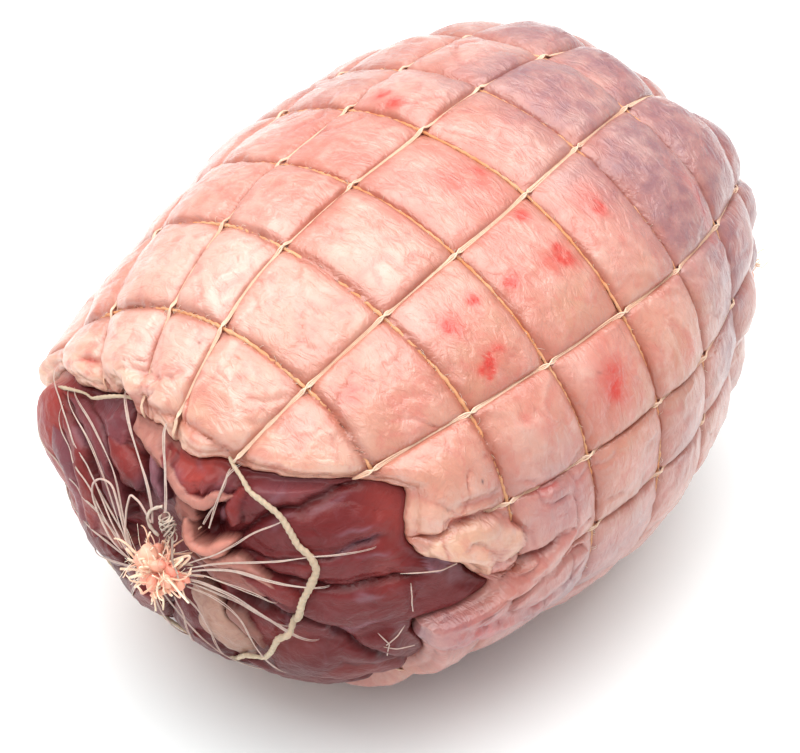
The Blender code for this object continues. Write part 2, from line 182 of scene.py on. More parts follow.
# angles and drifts of the strands by column number: those in front, then even ones behind
def columnAngles():
    step = (360 + net["strands"][0] - net["strands"][-1]) / (net["behind"] + 1)
    behind = [net["strands"][-1] + step * (i + 1) for i in range(net["behind"])]
    angles = np.array([*net["strands"], *behind, 360 + net["strands"][0]])
    drifts = np.array([*net["drift"], *([0] * net["behind"]), net["drift"][0]])
    return angles, drifts


strandAngles, strandDrifts = columnAngles()


# angle in radians of a column number: straight between strands, turning a little along the roll
def angleOfColumn(column, run):
    whole = np.arange(len(strandAngles))
    turns = np.floor(np.asarray(column) / columnCount)
    inside = column - turns * columnCount
    along = np.clip(np.interp(run, runTable, xTable), -net["driftReach"], net["driftReach"]) / 100
    drift = np.interp(inside, whole, strandDrifts) * along
    return np.radians(np.interp(inside, whole, strandAngles) + drift + 360 * turns)


# value noise: random numbers on a cubic lattice of the given pitch, blended smoothly between corners
def noise(points, pitch, seed):
    table = np.random.default_rng(seed).uniform(-1, 1, 8192)
    cell = np.asarray(points) / pitch
    base = np.floor(cell).astype(np.int64)
    part = cell - base
    part = part * part * (3 - 2 * part)
    total = np.zeros(cell.shape[:-1])
    for corner in range(8):
        step = np.array([corner & 1, corner >> 1 & 1, corner >> 2 & 1])
        at = base + step
        key = (at[..., 0] * 73856093) ^ (at[..., 1] * 19349663) ^ (at[..., 2] * 83492791)
        total += table[(key ^ (key >> 9)) & 8191] * np.prod(np.where(step == 1, part, 1 - part), axis=-1)
    return total


# one named layer of noise: strength * noise
def layer(points, strength, pitch, seed):
    return strength * noise(points, pitch, seed)


# layers of noise, each half as wide and half as strong as the last
def layeredNoise(points, pitch, layers, seed):
    return sum(noise(points, pitch / 2**i, seed + i) / 2**i for i in range(layers))


# a noise for each of the three axes
def noiseVector(points, pitch, seed):
    return np.stack([noise(points, pitch, seed + k) for k in range(3)], -1)


# sharp lines where noise passes through zero: (1 - |noise| / width), never below 0
def creases(points, pitch, width, seed):
    return np.clip(1 - np.abs(noise(points, pitch, seed)) / width, 0, 1)


# distance in the flat map of a point from a line through knots, how far along it is (0 to 1) and its side
def lineDistance(u, v, knots):
    best = np.full(u.shape, 1e9)
    share = np.zeros(u.shape)
    hand = np.ones(u.shape)
    lengths = [math.dist(knots[i], knots[i + 1]) + 1e-9 for i in range(len(knots) - 1)]
    starts = np.concatenate([[0], np.cumsum(lengths)]) / sum(lengths)
    for i, length in enumerate(lengths):
        (ax, ay), (bx, by) = knots[i], knots[i + 1]
        dx, dy = (bx - ax) / length, (by - ay) / length
        t = np.clip((u - ax) * dx + (v - ay) * dy, 0, length)
        d = np.hypot(u - ax - t * dx, v - ay - t * dy)
        share = np.where(d < best, starts[i] + t / length * (starts[i + 1] - starts[i]), share)
        hand = np.where(d < best, np.sign((u - ax) * dy - (v - ay) * dx), hand)
        best = np.minimum(best, d)
    return best, share, hand


# flat map of the bare end round its tie: run * (sin angle, cos angle)
def flatMap(run, angle):
    return run * np.sin(angle), run * np.cos(angle)


def flatPoint(spot):
    return flatMap(spot[0], math.radians(spot[1]))


# mean of each value and its neighbours, the ends held
def evened(values, reach):
    return np.convolve(np.pad(values, reach, "edge"), np.ones(2 * reach + 1) / (2 * reach + 1), "valid")


# route through knots (run, degrees, lift), straight in the flat map and with its corners rounded
def flatRoute(knots, samples, rounding=9):
    knots = np.array(knots, float)
    u, v = flatMap(knots[:, 0], np.radians(knots[:, 1]))
    steps = np.hypot(np.diff(u), np.diff(v)) + 1e-6
    far = np.concatenate([[0], np.cumsum(steps)])
    at = np.linspace(0, far[-1], samples)
    u, v, lift = (evened(np.interp(at, far, values), rounding) for values in (u, v, knots[:, 2]))
    return np.hypot(u, v), np.arctan2(u, v), lift


# mesh from points in mm: it rides the body, replaces its node and carries its painted fields
def makeObject(name, points, faces, material, node, fields, sharpAngle=None):
    mesh = bpy.data.meshes.new(name)
    mesh.from_pydata((np.asarray(points).reshape(-1, 3) * mm).tolist(), [], faces)
    mesh.update()
    for field, values in fields.items():
        painted = mesh.attributes.new(field, "FLOAT", "POINT")
        painted.data.foreach_set("value", np.ascontiguousarray(values, np.float32).ravel())
    mesh.shade_smooth()
    if sharpAngle:
        mesh.set_sharp_from_angle(angle=math.radians(sharpAngle))
    mesh.materials.append(material)
    piece = bpy.data.objects.new(name, mesh)
    bpy.context.scene.collection.objects.link(piece)
    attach(piece, "root")
    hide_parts(node)
    print(name, "triangles", sum(len(face) - 2 for face in faces))
    return piece


# faces of a grid that closes round: rows of points, each joined to the next
def ringFaces(rows, columns):
    index = np.arange(rows * columns).reshape(rows, columns)
    after = np.roll(index, -1, axis=1)
    return np.stack([index[:-1], after[:-1], after[1:], index[1:]], -1).reshape(-1, 4).tolist()


# closes the first or last ring of a grid at one pole point
def poleFaces(pole, ring, columns, first):
    start = ring * columns
    index = start + np.arange(columns)
    after = start + (np.arange(columns) + 1) % columns
    between = (after, index) if first else (index, after)
    return np.stack([np.full(columns, pole), *between], -1).tolist()


# bars carried along paths: each ring is centre + thick * cos a * out + wide * sin a * side; plies make the
# radius ripple by strength * cos(2 a - twist)
def tubeMesh(paths, outs, wide, sides, closed=False, plies=None, flat=1.0):
    paths, outs = np.asarray(paths, float), np.asarray(outs, float)
    many, length = paths.shape[:2]
    if closed:
        ahead = unit(np.roll(paths, -1, 1) - np.roll(paths, 1, 1))
    else:
        ahead = unit(np.gradient(paths, axis=1))
    outs = squareTo(outs, ahead)
    side = np.cross(ahead, outs)
    turn = np.arange(sides) * fullTurn / sides
    wide = np.broadcast_to(np.asarray(wide, float), (many, length))
    more = 1 if plies is None else 1 + plies[0] * np.cos(2 * turn[None, None, :] - plies[1][None, :, None])
    up, across = (wide[..., None] * wave * more for wave in (flat * np.cos(turn), np.sin(turn)))
    rings = paths[:, :, None] + up[..., None] * outs[:, :, None] + across[..., None] * side[:, :, None]
    index = np.arange(many * length * sides).reshape(many, length, sides)
    after = np.roll(index, -1, axis=2)
    if closed:
        corners = [index, after, np.roll(after, -1, 1), np.roll(index, -1, 1)]
        return rings.reshape(-1, 3), np.stack(corners, -1).reshape(-1, 4).tolist()
    corners = [index[:, :-1], after[:, :-1], after[:, 1:], index[:, 1:]]
    faces = np.stack(corners, -1).reshape(-1, 4).tolist() + index[:, 0, ::-1].tolist() + index[:, -1].tolist()
    return rings.reshape(-1, 3), faces


# several sets of points and faces as one
def joinParts(parts):
    points, faces, start = [], [], 0
    for some, theirs in parts:
        points.append(some)
        faces += [[start + i for i in face] for face in theirs]
        start += len(some)
    return np.concatenate(points), faces


# the netted skin
skin = {
    "pillow": 2.5,  # rise of a cushion
    "spread": 0.5,  # how unlike each other they rise
    "tilt": 0.7,
    "farSwell": 1.8,  # the cushions at the far end bulge more
    "farSwellRuns": (172, 212),
    "hoopGroove": 1.1,
    "strandGroove": 0.5,
    "fullFrom": 50.0,  # cushions are full where the roll is wider than this
    "thickness": 4.4,
    "thinnest": 1.2,
    "cellRows": 34,  # grid lines to a cell
    "cellColumns": 36,
    "crowding": 0.45,  # how much closer the grid lies to the cords
    "hemRows": 110,
    "farRows": 124,
    "liningRows": 7,
    "lipRows": 10,
    "seams": (5, 8, 12.92),  # rows where one band ends and the next begins
    "sharpAngle": 62,
    "lip": 1.9,  # how far the hem's lip stands out
    "hemGuess": 55.0,
    "hemCushion": 3.4,
    "hemReach": 11,
    "flapBase": 0.8,
    "flapSeam": 0.8,
    # hem: degrees from the top and run
    "hem": (
        (-76, 58), (-70, 56.5), (-64, 53.5), (-60, 49), (-52, 45), (-46, 42.5), (-36, 42.5), (-30, 41),
        (-27, 37.0), (-20, 35.7), (-14, 36.0), (-8, 33.6), (0, 32.6), (8, 33.0), (16, 35.4), (24, 38.0),
        (32, 42.6), (38, 47), (44, 53.5), (48, 59.5), (52, 64), (56, 67.6), (60, 67.2), (64, 65.2),
        (68, 64), (72, 64.2), (75, 66), (77, 67.4), (79.5, 72.6), (83, 75.5), (87, 78), (90, 81),
        (92, 84.5), (94, 83), (95.5, 79), (97, 74), (98.5, 68), (100, 64.5), (105, 64.5), (112, 69),
        (120, 74), (130, 76), (145, 74), (160, 70), (180, 64), (200, 60), (225, 60), (250, 59), (268, 60),
        (284, 58),
    ),
    "hemFray": ((0.9, 5, 31), (0.5, 2.2, 32)),
}
# layers of noise on the skin: strength, pitch in mm, seed
skinNoise = {
    "lump": (0.55, 14, 51),
    "smallLump": (0.30, 6.5, 52),
    "foldPlace": (1, 17, 54),
    "wrinkleAlong": (0.17, 1.9, 55),
    "wrinkleAcross": (0.17, 1.9, 56),
    "wrinklePlace": (1, 11, 57),
    "wrinkleChoice": (1, 24, 60),
    "hoopPucker": (0.42, 2.6, 58),
    "strandPucker": (0.30, 2.8, 66),
    "lineStray": (0.35, 2.5, 67),
    "flapWidth": (0.25, 4.5, 141),
    "flapTop": (0.35, 3, 142),
    "hemEdge": (0.6, 7, 71),
    "hemLump": (0.55, 4.2, 72),
    "lipBulge": (0.35, 6, 73),
    "bloodEdge": (0.34, 4.5, 61),
    "bloodFine": (0.17, 2.0, 62),
    "fat": (0.7, 9, 65),
    "tanMark": (0.8, 8, 68),
    "tanPlace": (1, 19, 69),
    "tanLower": (0.6, 10, 70),
    "groove": (1.2, 5, 71),
    "paintedHighlight": (0.5, 12, 72),
}


# 1 on the wide part of the roll, falling to 0 with its radius at the ties
def fullness(run):
    return np.clip(radiusAt(run) / skin["fullFrom"], 0, 1)


# a cushion's rise over a whole cell: a dome, 1 - e^2, and a steep edge, (1 - e^12)^0.5, e = |2 n - 1|
def swell(number):
    return 0.35 * dome(number, 2) + 0.65 * dome(number, 12) ** 0.5


# the net's lines stray a little: run and angle of a row and a column number
def netPlace(row, column):
    run = runOfRow(row)
    around = angleOfColumn(column, run)
    spot = np.stack([run, 60 * np.cos(around), 60 * np.sin(around)], -1)
    sway = net["sway"] * fullness(run)
    angle = around + sway * noise(spot, net["swayPitch"][1], 9) / 60
    return run + sway * noise(spot, net["swayPitch"][0], 5) * net["runSway"], angle


# one random number for each cell, between -spread and spread
def cellValues(row, column, seed, spread):
    table = np.random.default_rng(seed).uniform(-spread, spread, (lastRow + 4, columnCount))
    cellRow = np.clip(np.floor(row).astype(int) + 1, 0, lastRow + 3)
    return table[cellRow, np.floor(column).astype(int) % columnCount]


# distance in mm from the nearest hoop and the nearest strand
def fromCords(row, column):
    fromHoop = np.abs(row - np.round(row)) * net["rowPitch"]
    return fromHoop, np.abs(column - np.round(column)) * net["columnPitch"]


# lift of the netted skin: each cell is a cushion between its grooves, a little tilted
def pillowLift(row, column):
    along, across = swell(row), swell(column)
    height = skin["pillow"] + cellValues(row, column, 7, skin["spread"])
    for seed, number in ((8, row), (9, column)):
        height = height + cellValues(row, column, seed, skin["tilt"]) * (number - np.floor(number) - 0.5)
    floor = -skin["hoopGroove"] * (1 - along) - skin["strandGroove"] * (1 - across) * along
    run = runOfRow(row)
    extra = skin["farSwell"] * smooth(*skin["farSwellRuns"], run) * dome(row, 2) * dome(column, 2)
    return (height * along * across + floor + extra) * fullness(run)


# run of the hem at an angle: straight between its knots, frayed by noise
def hemRun(angle):
    knots = np.array([*skin["hem"], (skin["hem"][0][0] + 360, skin["hem"][0][1])], float)
    first = knots[0, 0]
    run = np.interp((np.degrees(angle) - first) % 360 + first, knots[:, 0], knots[:, 1])
    ring = np.stack([60 * np.cos(angle), 60 * np.sin(angle), 0 * angle], -1)
    return run + sum(layer(ring, *fray) for fray in skin["hemFray"])


# lift of the skin's inner face
def liningLift(run):
    return -(skin["thickness"] * fullness(run) + skin["thinnest"])


# drawn lines of the skin: knots (run, degrees), half width in mm, height in mm (below 0 is a crease), redness
skinLines = (
    (((88, -1), (79.6, 6), (72, 12), (70.8, 15), (73.2, 20)), 0.7, -0.7, 0.35),
    (((89, 1), (80.6, 8), (74, 13)), 1.1, 0.4, -0.3), (((78.9, 0), (75.5, 2), (72.9, 3)), 0.6, -0.5, 0.4),
    (((99.4, -1), (96.3, 2), (91.2, 3)), 0.6, -0.5, 0.3), (((102, 4), (96, 7), (93, 6)), 0.7, 0.4, -0.3),
    (((76.3, -20), (70.1, -15), (65.6, -11)), 0.6, -0.5, 0.3),
    (((79, -17), (72.5, -12), (67.5, -8)), 0.5, -0.4, 0.25), (((85.2, -24), (79.3, -18)), 0.5, -0.4, 0.2),
    (((88.4, 11), (85.4, 16), (81.2, 19)), 0.6, -0.5, 0.3),
    (((104.1, -37), (98.2, -23), (105.7, -22)), 0.7, -0.5, 0.35),
    (((125.0, 26), (130.3, 27), (132.6, 30), (136.9, 30)), 0.5, -0.45, 0.3),
    (((122, 30), (127, 33), (130, 36)), 0.6, 0.4, -0.3),
    (((112, 8), (118, 5), (124, 8), (128, 6)), 0.6, -0.5, 0.3),
    (((118, 12), (124, 14), (131, 12)), 0.6, -0.45, 0.3),
    (((150, -10), (156, -6), (160, -8)), 0.7, -0.5, 0.3),
    (((103.2, 39), (100.5, 42), (98, 45)), 0.5, -0.3, 2.2),
    (((99.2, 40), (100.5, 42.5), (100.4, 44.5)), 0.45, -0.2, 2.0),
    (((101.4, 38.6), (99.6, 42.4)), 0.4, -0.2, 1.8), (((155.6, 30), (153.8, 32)), 0.5, -0.2, 2.0),
    (((47.2, -28), (46.1, -21), (46.4, -15), (48.6, -10), (51.5, -7)), 0.9, -1.4, 0.5),
    (((53.5, -54), (50.6, -47), (47.3, -42), (44.0, -38)), 0.9, -1.4, 0.4),
    (((56, -60), (54, -52), (55, -44)), 0.9, -0.8, 0.3),
    (((47.5, -5.5), (43.3, -3), (38.5, -1.6)), 0.55, -0.9, 1.6),
    (((49, -7), (43.8, -4.6), (39, -3.4)), 0.9, 0.8, -0.3),
    (((52, 12), (56, 18), (60, 20)), 1.0, -0.5, 0.25), (((54, 2), (58, 8), (57, 14)), 1.2, 0.5, -0.4),
    (((46, 14), (52, 22), (60, 27)), 0.8, -0.45, 0.2), (((78, 36), (84, 40), (90, 41)), 0.7, -0.4, 0.3),
    (((75.0, 63), (80.8, 65), (89, 66.5)), 1.0, -1.4, 0.8),
    (((70.5, 66), (78.7, 68.5), (86, 72)), 1.0, -1.3, 0.7),
    (((93.0, 69), (99.6, 71.5), (106.0, 72)), 0.7, -1.2, 1.1),
    (((85.4, 89.5), (88.3, 87), (91.2, 86), (94.2, 86), (97.3, 85.5), (102, 84)), 1.3, -3.4, 0.5),
    (((86.4, 91), (92, 90), (97.5, 87.5)), 1.0, -1.6, 0.8),
    (((72, 100), (80, 102), (92, 104), (104, 100)), 1.1, -1.2, 0.6),
    (((103, 93), (109, 92), (116, 94)), 0.7, -0.7, 0.4),
    (((120, 108), (130, 112), (141, 108)), 0.9, -1.0, 0.5),
)

# flaps that lie over the skin: knots (run, degrees, rise over the cushions), half width, fatness, pinkness
flaps = (
    (((66.8, 75, 0.0), (71, 73.5, 0.9), (77, 74.5, 1.5), (83, 77.5, 1.4), (91, 80.5, 0.7)), 6.0, 1.0, 0.0),
    (((74, 76, 0.2), (77, 81, 1.0), (80.5, 89, 0.8)), 4.2, 1.0, 0.0),
    (((65.2, 58, 0.2), (67.5, 63, 0.9), (71.5, 67, 0.8), (75.5, 66, 0.2)), 3.4, 0.6, 0.2),
    (((85, 94, 0.2), (92, 91.5, 1.4), (99, 89.5, 1.6), (107, 85, 0.6)), 4.2, 0.0, 0.7),
    (((66, 104, 0.2), (73, 103, 0.9), (81, 100, 0.7)), 4.0, 0.5, 0.2),
    (((76, 108, 0.2), (88, 106, 0.9), (101, 101, 0.4)), 5.2, 0.0, 0.6),
    (((88, 99, 0.2), (101, 98, 0.5), (112, 94, 0.1)), 4.0, 0.1, 0.6),
    (((46, -34, 0.0), (44.5, -24, 0.7), (45.5, -14, 0.2)), 3.0, 0.6, 0.0),
    (((50, -58, 0.0), (48, -50, 0.7), (47, -41, 0.2)), 3.2, 0.7, 0.0),
)


# the part of the skin near a drawn line, its distance from the line and its share along it; run against arc
def nearLine(run, turned, knots, reach):
    runs, turns = (np.array([knot[k] for knot in knots]) for k in (0, 1))
    near = (run > runs.min() - reach) & (run < runs.max() + reach)
    near &= (turned > turns.min() - 12) & (turned < turns.max() + 12)
    line = list(zip(runs, np.radians(turns) * radiusAt(runs)))
    away, share, _ = lineDistance(run[near], np.radians(turned[near]) * radiusAt(run[near]), line)
    return near, away, share


# a flap stands over the cushions by its rise times (1 - (away / half width)^2)^0.4, and its rim is creased
def layFlaps(spots, run, angle, lift):
    fat, pink, seam = np.zeros((3, *run.shape))
    lift = lift + 0 * run
    turned = fromTop(angle)
    for knots, halfWide, fatness, pinkness in flaps:
        near, away, share = nearLine(run, turned, knots, 10)
        rises = [knot[2] for knot in knots]
        body = dome(share, 3) ** 0.5
        width = np.maximum(halfWide * body * (1 + layer(spots[near], *skinNoise["flapWidth"])), 0.05)
        rim = np.abs(away) / width
        rise = skin["pillow"] * skin["flapBase"] + np.interp(share, np.linspace(0, 1, len(rises)), rises)
        top = (rise + layer(spots[near], *skinNoise["flapTop"])) * np.clip(1 - rim**2, 0, 1) ** 0.4
        over = smooth(1.0, 0.7, rim) * smooth(0, 0.15, body)
        lift[near] = np.where(rim < 1, np.maximum(lift[near], top), lift[near])
        edge = bell((rim - 1.06) * width, 0.7) * smooth(0.1, 0.6, body)
        for field, value in ((fat, fatness * over), (pink, pinkness * over), (seam, edge)):
            field[near] = np.maximum(field[near] * (1 - over), value)
    return lift - skin["flapSeam"] * seam, fat, pink, seam


# relief of the skin in mm: soft lumps, drawn wrinkles across each cell, puckers beside the cords and its
# lines; with it how low, how red and how slit the skin is
def skinRelief(spots, row, column, run, angle):
    bent = spots + 3.2 * noiseVector(spots, 15, 41)
    along, across = bent * (0.28, 1, 1), bent * (1, 0.30, 0.30)
    where = smooth(-0.25, 0.35, layer(spots, *skinNoise["foldPlace"]))
    folds = 0.30 * creases(bent, 6.0, 0.2, 59) * (1 - where)
    folds = folds - 0.65 * creases(bent, 8.5, 0.10, 53) ** 1.3 * where
    choice = smooth(-0.15, 0.15, layer(spots, *skinNoise["wrinkleChoice"]))
    fine = layer(along, *skinNoise["wrinkleAlong"]) * choice
    fine = fine + layer(across, *skinNoise["wrinkleAcross"]) * (1 - choice)
    fine = fine * smooth(-0.35, 0.4, layer(spots, *skinNoise["wrinklePlace"]))
    fromHoop, fromStrand = fromCords(row, column)
    pucker = layer(across * (0.5, 3.3, 3.3), *skinNoise["hoopPucker"]) * bell(fromHoop, 3.4)
    pucker += layer(along * (3.6, 0.6, 0.6), *skinNoise["strandPucker"]) * bell(fromStrand, 3.0)
    calm = 0.3 + 0.7 * swell(row) ** 0.5 * swell(column) ** 0.5
    beside = np.minimum(fromHoop / 1.2, 1) * np.minimum(fromStrand / 1.2, 1)
    red, lines, slit = np.zeros((3, *run.shape))
    turned = fromTop(angle)
    for knots, halfWide, height, redness in skinLines:
        near, away, share = nearLine(run, turned, knots, 8)
        away = np.abs(away + layer(spots[near], *skinNoise["lineStray"]))
        ends = smooth(0, 0.2, share) * smooth(0, 0.2, 1 - share)
        body = bell(away, halfWide) * (0.15 + 0.85 * ends)
        lines[near] += height * (body - 0.35 * bell(away, 2.6 * halfWide) * ends)
        # painted shade: the deepest creases are painted dark as slits, with the dark speck colour
        slit[near] += (0.9 if height < -2.5 else 0) * bell(away, 0.8 * halfWide) * ends
        red[near] += redness * bell(away, 1.2 * halfWide) * ends
    small = layer(spots, *skinNoise["smallLump"])
    lumps = layer(spots, *skinNoise["lump"]) + small
    relief = lumps * calm + (folds + fine) * calm * beside + pucker * beside
    low = np.clip(0.5 - 1.3 * (folds + fine + 0.5 * pucker) * calm - small / 1.2, 0, 1)
    return (relief + lines) * fullness(run), low, red, slit


# skin marks: (along the axis x, degrees, half width round, half length, strength)
marks = {
    "blood": (
        (-40, 42, 2.0, 3.0, 0.85), (-39, 41, 5, 6, 0.3), (-41, 31, 2.3, 2.1, 0.9), (-40, 31, 6, 5, 0.4),
        (-32, 30, 2.2, 2.8, 0.65), (-20, 32, 2.3, 3.4, 0.75), (-22, 33, 5, 7, 0.3),
        (-35.5, 40, 2.4, 3, 0.5), (-8, 34, 4, 4.5, 0.45), (-4, 14, 5, 4, 0.35), (-24, 7, 4, 4, 0.35),
        (-58, 106, 9, 10, 0.55), (44, 46, 12, 2.4, 0.4), (-4, 23, 2.5, 2.6, 0.85), (-3, 34, 3.4, 3.0, 0.85),
        (-2, 35, 6, 5, 0.4), (-1, 11, 3.5, 3, 0.4), (-10, 9, 4, 3.5, 0.45), (14, 32, 1.8, 2.0, 1.0),
        (14, 29, 5, 4, 0.5), (-11, 60, 8, 6, 0.55), (-12, 61, 3.5, 3, 0.35), (-35, 59, 3, 3, 0.45),
        (-39, 55, 2.2, 2.2, 0.4), (-67, 29, 1.6, 2.0, 0.7), (-68, 30, 5, 4, 0.35), (17, 67, 3, 4, 0.35),
        (6, -13, 4.4, 3.0, 0.7), (8, -18, 3, 2.6, 0.5), (-8, -11, 4, 3, 0.3), (65, -2, 3.4, 3.0, 0.4),
        (47, 42, 3, 3, 0.3), (30, 118, 7, 6, 0.4), (-20, 190, 8, 6, 0.4), (10, 240, 6, 6, 0.45),
        (-40, 262, 5, 5, 0.35), (40, 285, 6, 5, 0.35), (50, 205, 6, 6, 0.3),
    ),
    # meat seen through thin skin; the marks on the underside, near 100 to 110 degrees, are painted shade
    "thinAndShade": (
        (-36, 76, 16, 14, 0.55), (-50, 70, 12, 10, 0.4), (-20, 96, 16, 14, 0.2), (-74, 100, 10, 8, 0.4),
        (25, -8, 14, 12, 0.5), (56, -16, 16, 12, 0.4), (42, 5, 14, 12, 0.5), (-60, 102, 14, 14, 0.6),
        (-72, 108, 12, 10, 0.6), (50, 65, 18, 12, 0.9), (41, 83, 16, 12, 0.8), (-32, 105, 14, 20, 0.7),
        (28, 12, 16, 14, 0.7), (33, -2, 14, 12, 0.7), (58, -14, 20, 14, 0.5), (14, 22, 10, 8, 0.3),
        (12, 88, 18, 20, 0.5), (-8, 100, 14, 18, 0.4), (52, 50, 24, 18, 0.9), (28, 24, 18, 14, 0.7),
        (34, 40, 20, 14, 0.9), (47, 31, 22, 16, 1.0), (49, 44, 22, 16, 1.0), (42, 62, 18, 16, 0.7),
        (65, 5, 26, 18, 0.9), (70, 45, 30, 18, 1.0), (40, 5, 14, 10, 0.5), (80, 80, 24, 16, 0.8),
        (20, -38, 22, 22, 0.45), (60, -45, 24, 20, 0.6), (0, -60, 26, 26, 0.4), (55, 110, 20, 20, 0.5),
        (-10, 160, 26, 26, 0.4), (40, 200, 26, 24, 0.6), (-30, 250, 26, 20, 0.4), (75, 260, 30, 20, 0.8),
        (85, 180, 30, 16, 0.8),
    ),
    # painted highlights: the skin is made whiter where the light falls brightest
    "paintedHighlight": (
        (-60, -15, 28, 20, 0.6), (-80, -25, 12, 12, 0.7), (60, -15, 26, 18, 0.7), (42, -6, 20, 14, 0.4),
        (-48, 20, 14, 10, 0.4),
    ),
    # tan patches of the skin; those on the lower right side, near 76 to 90 degrees, are painted shade
    "tanAndShade": (
        (-70, 18, 16, 14, 0.5), (50, 64, 12, 10, 0.5), (-66, 48, 10, 10, 0.5), (-68, 124, 12, 12, 0.4),
        (-2, 78, 16, 14, 0.8), (-35, 68, 20, 14, 0.25), (-12, 42, 10, 10, 0.6), (2, 50, 14, 12, 0.25),
        (5, 76, 24, 18, 0.9), (-42, 42, 11, 10, 0.4), (-30, 33, 10, 9, 0.5), (30, 80, 24, 20, 0.9),
        (-55, 75, 12, 10, 0.5), (-15, 82, 20, 14, 0.9), (-10, 210, 30, 24, 0.5), (-60, 20, 9, 9, 0.3),
        (-52, 2, 8, 8, 0.4), (20, 12, 9, 8, 0.4), (30, 150, 30, 20, 0.5), (-20, 290, 24, 20, 0.4),
        (60, 90, 20, 16, 0.5), (-30, 22, 7, 7, 0.3),
    ),
    "pink": (
        (-28, 4, 14, 14, 0.4), (-22, 14, 12, 12, 0.4), (-70, 20, 12, 12, 0.3), (-34, 104, 12, 12, 0.6),
        (-68, 124, 12, 12, 0.8), (50, 64, 14, 12, 0.8), (50, 66, 12, 10, 0.5), (41, 83, 14, 12, 0.6),
        (68, 45, 16, 12, 0.6), (-24, -10, 16, 16, 0.6), (-43, -10, 12, 10, 0.5), (-19, 0, 12, 10, 0.4),
        (-52, 27, 10, 8, 0.4), (-36, 76, 12, 12, 0.5), (-57, 104, 12, 14, 1.0), (-5, 82, 14, 16, 0.7),
        (-80, 28, 6, 6, 0.6), (-65, 47, 8, 8, 0.7), (-72, 60, 8, 7, 0.7), (-36, 77, 14, 12, 0.7),
        (-58, 105, 12, 10, 1.0), (-13, 27, 14, 12, 0.8), (-50, 31, 10, 8, 0.4), (-38, 78, 12, 14, 0.8),
        (-35, 100, 12, 16, 0.8), (-5, 100, 14, 20, 0.5), (0, 20, 13, 11, 0.7), (14, 4, 10, 9, 0.5),
        (-28, 45, 22, 16, 0.6), (-12, 60, 18, 14, 0.8), (-5, 12, 16, 12, 0.85), (2, -14, 18, 12, 0.7),
        (-14, -22, 14, 12, 0.6), (12, 38, 14, 14, 0.5), (-60, 88, 14, 10, 0.9), (-45, 108, 24, 14, 1.0),
        (-10, 120, 30, 20, 0.8), (-50, -30, 12, 10, 0.35), (-20, 200, 24, 24, 0.4), (20, 250, 24, 24, 0.5),
        (-48, 62, 10, 8, 0.5), (-24, 78, 14, 10, 0.5), (-30, -50, 22, 16, 0.6), (-22, 4, 12, 10, 0.4),
        (22, 85, 16, 12, 0.4), (40, 95, 18, 12, 0.5), (-60, 40, 8, 8, 0.3),
    ),
}
# small dark specks: run, degrees
specks = {
    "places": (
        (58.6, -8), (75.5, 30), (123.7, 21), (125.1, 56), (135.8, 63), (84.1, 61), (64, -31), (110, 12),
    ),
    "width": 0.34,
    "strength": 1.1,
}


# strength of a set of marks at a run and an angle: each fades as exp(-(distance / half size)^2)
def markField(kind, run, angle):
    total = np.zeros(run.shape)
    radius = np.maximum(radiusAt(run), 6)
    for x, degrees, halfRound, halfLong, strength in marks[kind]:
        across = turnFrom(angle, degrees) * radius / halfRound
        mark = strength * np.exp(-(across**2) - ((run - np.interp(x, xTable, runTable)) / halfLong) ** 2)
        total = np.maximum(total, mark) + 0.25 * mark * (total > 0.05)
    return np.clip(total, 0, 1)


